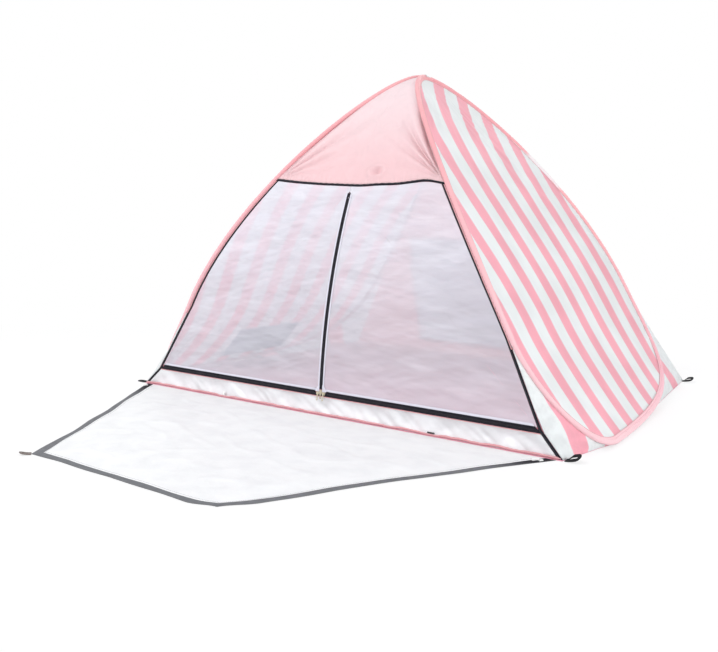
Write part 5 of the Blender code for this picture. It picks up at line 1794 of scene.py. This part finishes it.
def gusset_foot(k, count, corner_row, indices, wall_edge, wall_top, corner_y):
    """Where row k of a gusset ends: down the end wall's edge, then along the floor's side edge."""
    if k <= corner_row:
        foot = wall_edge(mix(wall_top, FOOT, k / corner_row))
        foot.x += SEAM + SEAM_GAP / 2
        return foot
    still_to_go = (count - k) / (count - corner_row)
    start = corner_y - HOOP[indices[corner_row]].y
    y = HOOP[indices[k]].y + start * still_to_go**GUSSET_EASE
    return Vector((floor_side_x(y) - SHEET, y, FOOT))


def gusset_row(wire, along, foot, columns):
    """A row from beside the sleeve to its foot, and how wide the gusset is there."""
    direction = (foot - wire).normalized()
    crossing = direction.cross(along).length
    first = wire + direction * EDGE_CLEARANCE / max(0.5, crossing)
    width = (foot - first).dot(direction)
    return width, [mix(first, foot, j / (columns - 1)) for j in range(columns)]


def gusset_rows(indices, wall_edge, wall_top, corner_y, finer=6, columns=16):
    """All of a gusset's rows that are wide enough to show, between the rows of its solid too."""
    count = len(indices) - 1
    corner_row = round(GUSSET_CORNER * count)
    feet = [gusset_foot(k, count, corner_row, indices, wall_edge, wall_top, corner_y) for k in range(count + 1)]
    rows = []
    for k in range(count):
        for part in range(finer):
            share = part / finer
            wire = mix(HOOP[indices[k]], HOOP[indices[k + 1]], share)
            along = mix(tangent(HOOP, indices[k]), tangent(HOOP, indices[k + 1]), share).normalized()
            foot = mix(feet[k], feet[k + 1], share)
            if k + share > corner_row:
                foot.z = SHEET * 0.8
            width, row = gusset_row(wire, along, foot, columns)
            if width >= GUSSET_SHORTEST / 6:
                rows.append(row)
    return rows


def gusset_height(point, down, across):
    inside = math.sin(math.pi * across) * smooth(0.0, 0.15, down) * smooth(0.0, 0.15, 1 - down)
    roll = cloud(point, 0.05, (1, 1, 1), 6.0) + 0.7 * ridged(point, 0.040, (1, 1, 0.6), 8.0)
    return 0.0034 * max(0.0, inside) * (roll + 0.35 * ridged(point, 0.018, seed=3.0))


def make_gussets():
    front = list(range(FORE_INDEX, LOW_INDEX + 1))
    last = next(i for i in range(REAR_INDEX, LOW_INDEX, -1) if HOOP[i].z < FLOOR_NEAR_GROUND / 2)
    back = list(range(REAR_INDEX, last - 1, -1))
    jobs = (
        ("front", front, outer_edge, FORE_Z, FRONT_EDGE + FOOT, FORWARD, front_gusset_cloth),
        ("rear", back, rear_edge, REAR_Z, REAR_FOOT_Y, BACKWARD, rear_gusset_cloth),
    )
    for end, indices, wall_edge, wall_top, corner_y, towards, build in jobs:
        finish = finish_named(f"{end}_gusset_cloth", build)
        for word, side in SIDES:
            rows = gusset_rows(indices, wall_edge, wall_top, corner_y)
            rows = sided(raised(rows, towards, gusset_height), side)
            name = f"{word}_{end}_gusset"
            cloth(f"{name}_cloth", rows, finish, [name], "silver_cloth")


# Porch

def porch_half(distance):
    """Half the porch's width at a distance from the floor's edge."""
    return mix(PORCH_REAR_HALF, PORCH_FAR_HALF, distance / PORCH_LENGTH)


PORCH_SLANT = math.hypot(PORCH_REAR_HALF - PORCH_FAR_HALF, PORCH_LENGTH)
PORCH_SPREAD = PORCH_SLANT / PORCH_LENGTH


def porch_sway(x, distance):
    """How far a point of the flat porch wanders on the ground, none along the floor's edge."""
    share = distance / PORCH_LENGTH
    sway = shape().tape_sway * smooth(0.02, 0.14, distance)
    across = x / porch_half(distance)
    drawn_in = (1.2 if x < 0 else 0.5) * max(0.0, math.sin(math.pi * share ** 1.3)) * -across * abs(across)
    aside = noise.noise((distance / 0.11, 0.4 * x, 3.0 if x < 0 else 8.0))
    ahead = noise.noise((x / 0.15, 0.3 * distance, 5.0))
    corner = smooth(0.80, 1.0, share) * smooth(0.6, 1.0, abs(across))
    out, on = drawn_in + 0.75 * aside, 0.55 * ahead * smooth(0.3, 0.8, distance)
    if x < 0:
        return sway * (1 - corner) * out, sway * (1 - corner) * on
    # The far right corner lies further out than its straight edges, and is rounded
    pulled = smooth(0.45, 1.0, share) * smooth(-0.2, 1.0, across)
    tip = smooth(0.88, 1.0, share) * smooth(0.72, 1.0, across)
    return sway * out + 0.022 * pulled - 0.014 * tip, sway * on + 0.012 * pulled - 0.020 * tip


def porch_rise(x, distance):
    """How high the porch's cloth stands off the ground."""
    fold = shape().porch_fold
    half = porch_half(distance)
    edge = min(half - abs(x), PORCH_LENGTH - distance)
    soft = smooth(0.012, 0.10, distance)
    point = (x, distance, 0.0)
    broad = max(0.0, 0.25 + cloud(point, 0.19, (0.9, 1.2, 1), 5.0))
    crease = max(0.0, ridged(point, 0.13, (0.8, 1.3, 1), 7.0) - 0.55)
    hem = smooth(PORCH_TAPE_WIDTH * 1.1, 0.11, edge)
    return fold * soft * hem * (0.85 * broad + 0.9 * crease)


# How much of the tape is turned under along the right side, the far edge and the left side
TURNED_UNDER = (0.22, 0.32, 0.42)


def flat_width(edge, share):
    """How wide the tape lies on one of the porch's three edges."""
    ends = smooth(0.02, 0.16, share) * smooth(0.02, 0.16, 1 - share)
    turned = TURNED_UNDER[edge] * ends * (0.62 + 0.5 * noise.noise((6.5 * share, 3.0 + edge, 1.0)))
    return PORCH_TAPE_WIDTH * (1 - turned)


def on_ground(x, distance, lift=0.0):
    aside, ahead = porch_sway(x, distance)
    z = SHEET / 2 + lift + porch_rise(x, distance)
    return Vector((x + aside, FRONT_EDGE - distance - ahead, z))


def make_porch():
    """The zip-off flap in front of the door: silver cloth inside a grey zip tape."""
    rows = []
    for i in range(120):
        row = []
        for j in range(140):
            across = j / 139
            far = PORCH_LENGTH - flat_width(1, 1 - across) - SEAM_GAP
            distance = mix(SEAM_GAP, far, i / 119)
            down = distance / PORCH_LENGTH
            right = porch_half(distance) - flat_width(0, down) * PORCH_SPREAD
            left = porch_half(distance) - flat_width(2, 1 - down) * PORCH_SPREAD
            row.append(on_ground(mix(-left, right, across), distance))
        rows.append(row)
    finish = finish_named("porch_cloth", silver_cloth)
    cloth("porch_cloth", rows, finish, ["porch_sheet"], "silver_cloth", "porch")
    line = [row[1] for row in rows[4:]] + list(rows[-2])[2:-2] + [row[-2] for row in reversed(rows[4:])]
    line = [point + UPWARD * CLOTH / 2 for point in line]
    thread = finish_named("grey_thread", trim(shaded(colours().zip_grey, 1.6)))
    stitches("porch_stitches", line, UPWARD, thread, "porch")
    make_porch_tape()
    make_porch_loop()


def make_porch_tape():
    grey = finish_named("porch_zip_tape", zip_tape(colours().zip_grey, (1, 1, 0), colours().zip_black))
    teeth = finish_named("porch_teeth", trim(shaded(colours().zip_grey, 0.55), 0.4))
    width = PORCH_TAPE_WIDTH
    inner_far = PORCH_LENGTH - width
    inner_half = porch_half(inner_far) - width * PORCH_SPREAD
    outer = [(porch_half(SEAM_GAP), SEAM_GAP), (PORCH_FAR_HALF, PORCH_LENGTH)]
    inner = [(porch_half(SEAM_GAP) - width * PORCH_SPREAD, SEAM_GAP), (inner_half, inner_far)]
    outer += [(-x, y) for x, y in reversed(outer)]
    inner += [(-x, y) for x, y in reversed(inner)]
    flat_rows = []
    for k in range(3):
        size = math.dist(outer[k], outer[k + 1])
        steps = round(size / 0.006)
        for n in range(steps + (k == 2)):
            share = n / steps
            out = Vector(outer[k]).lerp(Vector(outer[k + 1]), share)
            near = Vector(inner[k]).lerp(Vector(inner[k + 1]), share)
            near = out.lerp(near, flat_width(k, share) / width)
            flat_rows.append([out.lerp(near, j / 10) for j in range(11)])
    profile = (0.0, 0.2, 0.2, 0.0, 0.0, 0.25, 0.0, 0.0, 0.2, 0.2, 0.0)
    rows = []
    for row in flat_rows:
        lift = 0.001 * smooth(0.010, 0.024, row[5].y)
        rows.append([on_ground(p.x, p.y, lift * profile[j]) for j, p in enumerate(row)])
    made = place("porch_tape", grid_mesh("tape", rows), grey, "porch", ["porch_zip_tape"], "grey_zip")
    thicken(made)
    line_length([row[5] for row in rows])
    line = [mix(row[0], row[1], 0.4) for row in rows[4:-4]]
    middle = sum(line, Vector()) / len(line)

    def inward_of(point):
        return (middle - point).normalized()

    coil("porch_teeth", line, inward_of, UPWARD, teeth, "porch", PORCH_TEETH)


# Webbing loops

def loop_rows(length, width, band, thickness):
    """A loop of webbing seen flat: out along one side, round its end and back, with its ends sewn down."""
    radius = (width - band) / 2
    straight = length - width / 2
    path = [(0.0, -radius)] + [(straight * k / 8, -radius) for k in range(1, 9)]
    turns = [math.pi * k / 16 for k in range(1, 16)]
    path += [(straight + radius * math.sin(turn), -radius * math.cos(turn)) for turn in turns]
    path += [(straight * (1 - k / 8), radius) for k in range(9)]
    rows = []
    for k, (x, y) in enumerate(path):
        before, after = path[max(0, k - 1)], path[min(len(path) - 1, k + 1)]
        along = Vector((after[0] - before[0], after[1] - before[1], 0)).normalized()
        aside = Vector((-along.y, along.x, 0))
        row = []
        for part in range(12):
            angle = math.tau * (part + 0.5) / 12
            wide = math.copysign(abs(math.cos(angle)) ** 0.35, math.cos(angle)) * band / 2 * 0.98
            high = math.copysign(abs(math.sin(angle)) ** 0.6, math.sin(angle)) * thickness / 2 * 0.96
            row.append(Vector((x, y, 0)) + aside * wide + UPWARD * high)
        rows.append(row)
    return rows


# How far each corner's loop curls up, and how much it is turned on edge
LOOP_SET = {
    "front_left": (0.0005, 0.0),
    "front_right": (0.010, 0.55),
    "rear_left": (0.004, 0.1),
    "rear_right": (0.008, 0.55),
}


def make_loop(name, node, corner, direction, body, length, width, finish, curl=0.006, turned=0.0):
    band, thickness = width * 0.40, 0.0030
    origin = corner + direction * SEAM_GAP + UPWARD * thickness / 2
    across = UPWARD.cross(direction)

    def laid(point):
        edge = turned * smooth(0.0, 0.5 * length, point.x) * (across.y * point.y + width / 2)
        high = point.z + curl * (point.x / length) ** 2 + edge
        return origin + direction * point.x + across * point.y + UPWARD * high

    rows = [[laid(point) for point in row] for row in loop_rows(length, width, band, thickness)]
    bar = []
    for a in np.linspace(0.02, 0.95, 6):
        start = origin + direction * band * a
        shares = np.linspace(0, 1, 12)
        ripple = [UPWARD * 0.0002 * math.sin(40 * b) for b in shares]
        bar.append([start + across * (b - 0.5) * (width - band) + up for b, up in zip(shares, ripple)])
    place(name, grid_mesh(name, rows, closed=True), finish, body, [node], "black_webbing")
    thicken(place(f"{name}_stitched_end", grid_mesh("end", bar), finish, body), thickness * 0.92)


def make_corner_loops():
    finish = own_finish(webbing)
    length, width = 0.042, 0.026
    clear = width / 2
    ends = (("front", FRONT_EDGE + SEAM_GAP + clear, clear), ("rear", REAR_EDGE - clear, -clear))
    for word, side in SIDES:
        for end, y, inwards in ends:
            name = f"{end}_{word}"
            corner = Vector((floor_side_x(y + inwards) * side, y, 0))
            size = (ROOT, length, width, finish, *LOOP_SET[name])
            make_loop(f"{name}_webbing", f"{name}_loop", corner, RIGHTWARD * side, *size)


def make_porch_loop():
    turn = math.radians(38.0)
    corner = Vector((-PORCH_FAR_HALF, FRONT_EDGE - PORCH_LENGTH, 0))
    direction = Vector((-math.sin(turn), -math.cos(turn), 0))
    finish = finish_named("brown_webbing", trim((0.16, 0.13, 0.115), 0.8))
    make_loop("porch_webbing", "porch_corner_loop", corner, direction, "porch", 0.030, 0.020, finish)


# Hard parts keep their solids and get their finishes

HARD_FINISHES = (
    ("spring_steel", (0.52, 0.53, 0.56), 0.26, metal, ("left_hoop_wire", "right_hoop_wire")),
    ("ferrule_steel", (0.62, 0.62, 0.63), 0.30, metal, ("left_hoop_ferrule", "right_hoop_ferrule")),
    (
        "slider_metal", (0.66, 0.60, 0.46), 0.28, metal,
        (
            "centre_slider", "centre_pull", "bottom_left_slider", "bottom_left_pull",
            "bottom_right_slider", "bottom_right_pull",
        ),
    ),
    (
        "white_plastic", OFF_WHITE, 0.38, plastic,
        ("porch_left_slider", "porch_left_pull", "porch_right_slider", "porch_right_pull", "window_tie_ring"),
    ),
    ("toggle_plastic", (0.03, 0.03, 0.032), 0.35, plastic, ("right_porch_toggle",)),
)


def finish_hard_parts():
    for name, base, roughness, build, nodes in HARD_FINISHES:
        finish = finish_named(name, build(base, roughness))
        for node in nodes:
            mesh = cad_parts[node].data
            mesh.materials.clear()
            mesh.materials.append(finish)


# Stage

CAMERA_PLACE = Vector((1.5203, -2.7669, 0.6203))
CAMERA_YAW = -0.5897
CAMERA_PITCH = -0.1268
CAMERA_ROLL = 0.0227
CAMERA_LENS = 39.88


def make_camera():
    level = Vector((math.cos(CAMERA_YAW), -math.sin(CAMERA_YAW), 0))
    ahead = Vector((math.sin(CAMERA_YAW), math.cos(CAMERA_YAW), 0)) * math.cos(CAMERA_PITCH)
    ahead.z = math.sin(CAMERA_PITCH)
    up = level.cross(ahead)
    right = level * math.cos(CAMERA_ROLL) + up * math.sin(CAMERA_ROLL)
    top = up * math.cos(CAMERA_ROLL) - level * math.sin(CAMERA_ROLL)
    data = bpy.data.cameras.new("tent_camera")
    data.lens = CAMERA_LENS
    data.sensor_width = 36
    camera = bpy.data.objects.new("tent_camera", data)
    turn = Matrix((right, top, -ahead)).transposed().to_4x4()
    camera.matrix_world = Matrix.Translation(CAMERA_PLACE) @ turn
    bpy.context.scene.collection.objects.link(camera)
    bpy.context.scene.camera = camera


def lamp(name, place_at, target, size, power):
    data = bpy.data.lights.new(name, "AREA")
    data.size = size
    data.energy = power
    made = bpy.data.objects.new(name, data)
    made.location = place_at
    made.rotation_euler = (target - place_at).to_track_quat("-Z", "Y").to_euler()
    bpy.context.scene.collection.objects.link(made)
    return made


def make_backdrop():
    """A pale ground that reads near white but keeps the tent's shadow."""
    base = bpy.context.scene.tent_stage.floor
    finish = Finish("stage_floor", base, 0.9)
    white = finish.add("ShaderNodeEmission", None, {"Color": (1, 1, 1, 1), "Strength": 1.0}).outputs[0]
    away = finish.add("ShaderNodeVectorMath", {"operation": "LENGTH"}, {0: finish.position()}).outputs["Value"]
    share = finish.direct() * (0.62 + 0.38 * Term(finish, away).rise(1.4, 2.6))
    finish.feed(finish.surface, finish.mix_shader(share, finish.shader.outputs[0], white))
    rows = [[Vector((x, y, -0.0006)) for x in np.linspace(-9, 9, 7)] for y in np.linspace(-9, 9, 7)]
    made = bpy.data.objects.new("stage_floor", grid_mesh("stage_floor", rows))
    made.data.materials.append(finish.made)
    bpy.context.scene.collection.objects.link(made)


def make_sky():
    """Even light from all round, and plain white past the tent."""
    world = bpy.data.worlds.new("tent_sky")
    bpy.context.scene.world = world
    world.use_nodes = True
    sky = Nodes(world.node_tree)
    sky.nodes.clear()
    soft = {"Color": (0.96, 0.97, 1.0, 1.0), "Strength": bpy.context.scene.tent_stage.sky}
    white = {"Color": (1, 1, 1, 1), "Strength": 1.0}
    lights = [sky.add("ShaderNodeBackground", None, sockets).outputs[0] for sockets in (soft, white)]
    sky.add("ShaderNodeOutputWorld", None, {"Surface": sky.mix_shader(sky.direct(), *lights)})


def make_stage():
    look = bpy.context.scene.tent_stage
    make_backdrop()
    make_sky()
    middle = Vector((0, -0.2, 0.5))
    lamp("key_lamp", Vector((-1.6, -3.4, 3.6)), middle, 3.0, look.key)
    lamp("back_lamp", Vector((-1.2, 4.2, 2.6)), middle, 2.5, look.back)
    lamp("fill_lamp", Vector((4.2, -0.8, 1.7)), middle, 2.5, look.fill)
    make_camera()
    bpy.context.scene.view_settings.view_transform = "Standard"


# Add-on layout: an operator for each group of pieces, and a panel that lists them

def operator(idname, label, text, build):
    """An operator that makes one group of pieces."""

    def execute(self, context):
        build()
        return {"FINISHED"}

    parts = {"bl_idname": idname, "bl_label": label, "bl_options": {"REGISTER", "UNDO"}}
    parts.update({"__doc__": text, "execute": execute})
    return type("TENT_OT_" + idname.split(".")[1], (bpy.types.Operator,), parts)


def make_doors():
    make_fixed_net()
    for word, side in SIDES:
        make_leaf(word, side)
    make_zip_backing()


def make_front_edge():
    make_sill()
    make_piping()
    make_tab()


OPERATORS = (
    operator("tent.floor", "Groundsheet", "Make the floor cloth", make_floor),
    operator("tent.hood", "Hood", "Make the creased cloth above the door", make_hood),
    operator("tent.opening", "Opening zip", "Make the black zip round the opening", make_opening_tapes),
    operator("tent.door", "Net door", "Make the net door with its zips", make_doors),
    operator(
        "tent.front_edge", "Sill and roll", "Make the sill, the roll below it and the porch's tab", make_front_edge,
    ),
    operator("tent.walls", "Striped walls", "Make the two striped side walls", make_walls),
    operator("tent.pocket", "Pocket", "Make the pocket inside the left wall", make_pocket),
    operator("tent.rear", "Rear wall", "Make the rear wall, its window and the window's cover", make_rear_wall),
    operator("tent.gussets", "Gussets", "Make the four corner gussets", make_gussets),
    operator("tent.sleeves", "Sleeves", "Make the gathered sleeves round the hoops", make_sleeves),
    operator("tent.peak", "Peak patch", "Make the patch where the hoops meet", make_apex_patch),
    operator("tent.porch", "Porch", "Make the porch, its tape and its loop", make_porch),
    operator("tent.loops", "Corner loops", "Make the webbing loops at the corners", make_corner_loops),
    operator("tent.hard_parts", "Hard parts", "Finish wires, sliders, pulls, ring and toggle", finish_hard_parts),
    operator("tent.stage", "Stage", "Make the pale ground, the lamps and the camera", make_stage),
)


class TENT_PT_panel(bpy.types.Panel):
    """Lists the tent's operators and settings"""

    bl_label = "Beach tent"
    bl_idname = "TENT_PT_panel"
    bl_space_type = "VIEW_3D"
    bl_region_type = "UI"
    bl_category = "Tent"

    def draw(self, context):
        for kind in OPERATORS:
            self.layout.operator(kind.bl_idname)
        for group in (context.scene.tent_shape, context.scene.tent_colours, context.scene.tent_stage):
            box = self.layout.box()
            for name in type(group).__annotations__:
                box.prop(group, name)


GROUPS = (("tent_shape", TentShape), ("tent_colours", TentColours), ("tent_stage", StageLook))


def register():
    for name, group in GROUPS:
        bpy.utils.register_class(group)
        setattr(bpy.types.Scene, name, PointerProperty(type=group))
    for kind in (*OPERATORS, TENT_PT_panel):
        bpy.utils.register_class(kind)


def unregister():
    for kind in (TENT_PT_panel, *reversed(OPERATORS)):
        bpy.utils.unregister_class(kind)
    for name, group in reversed(GROUPS):
        delattr(bpy.types.Scene, name)
        bpy.utils.unregister_class(group)


def main():
    register()
    for kind in OPERATORS:
        area, action = kind.bl_idname.split(".")
        if getattr(getattr(bpy.ops, area), action)() != {"FINISHED"}:
            raise RuntimeError(f"{kind.bl_idname} didn't finish")


if __name__ == "__main__":
    main()
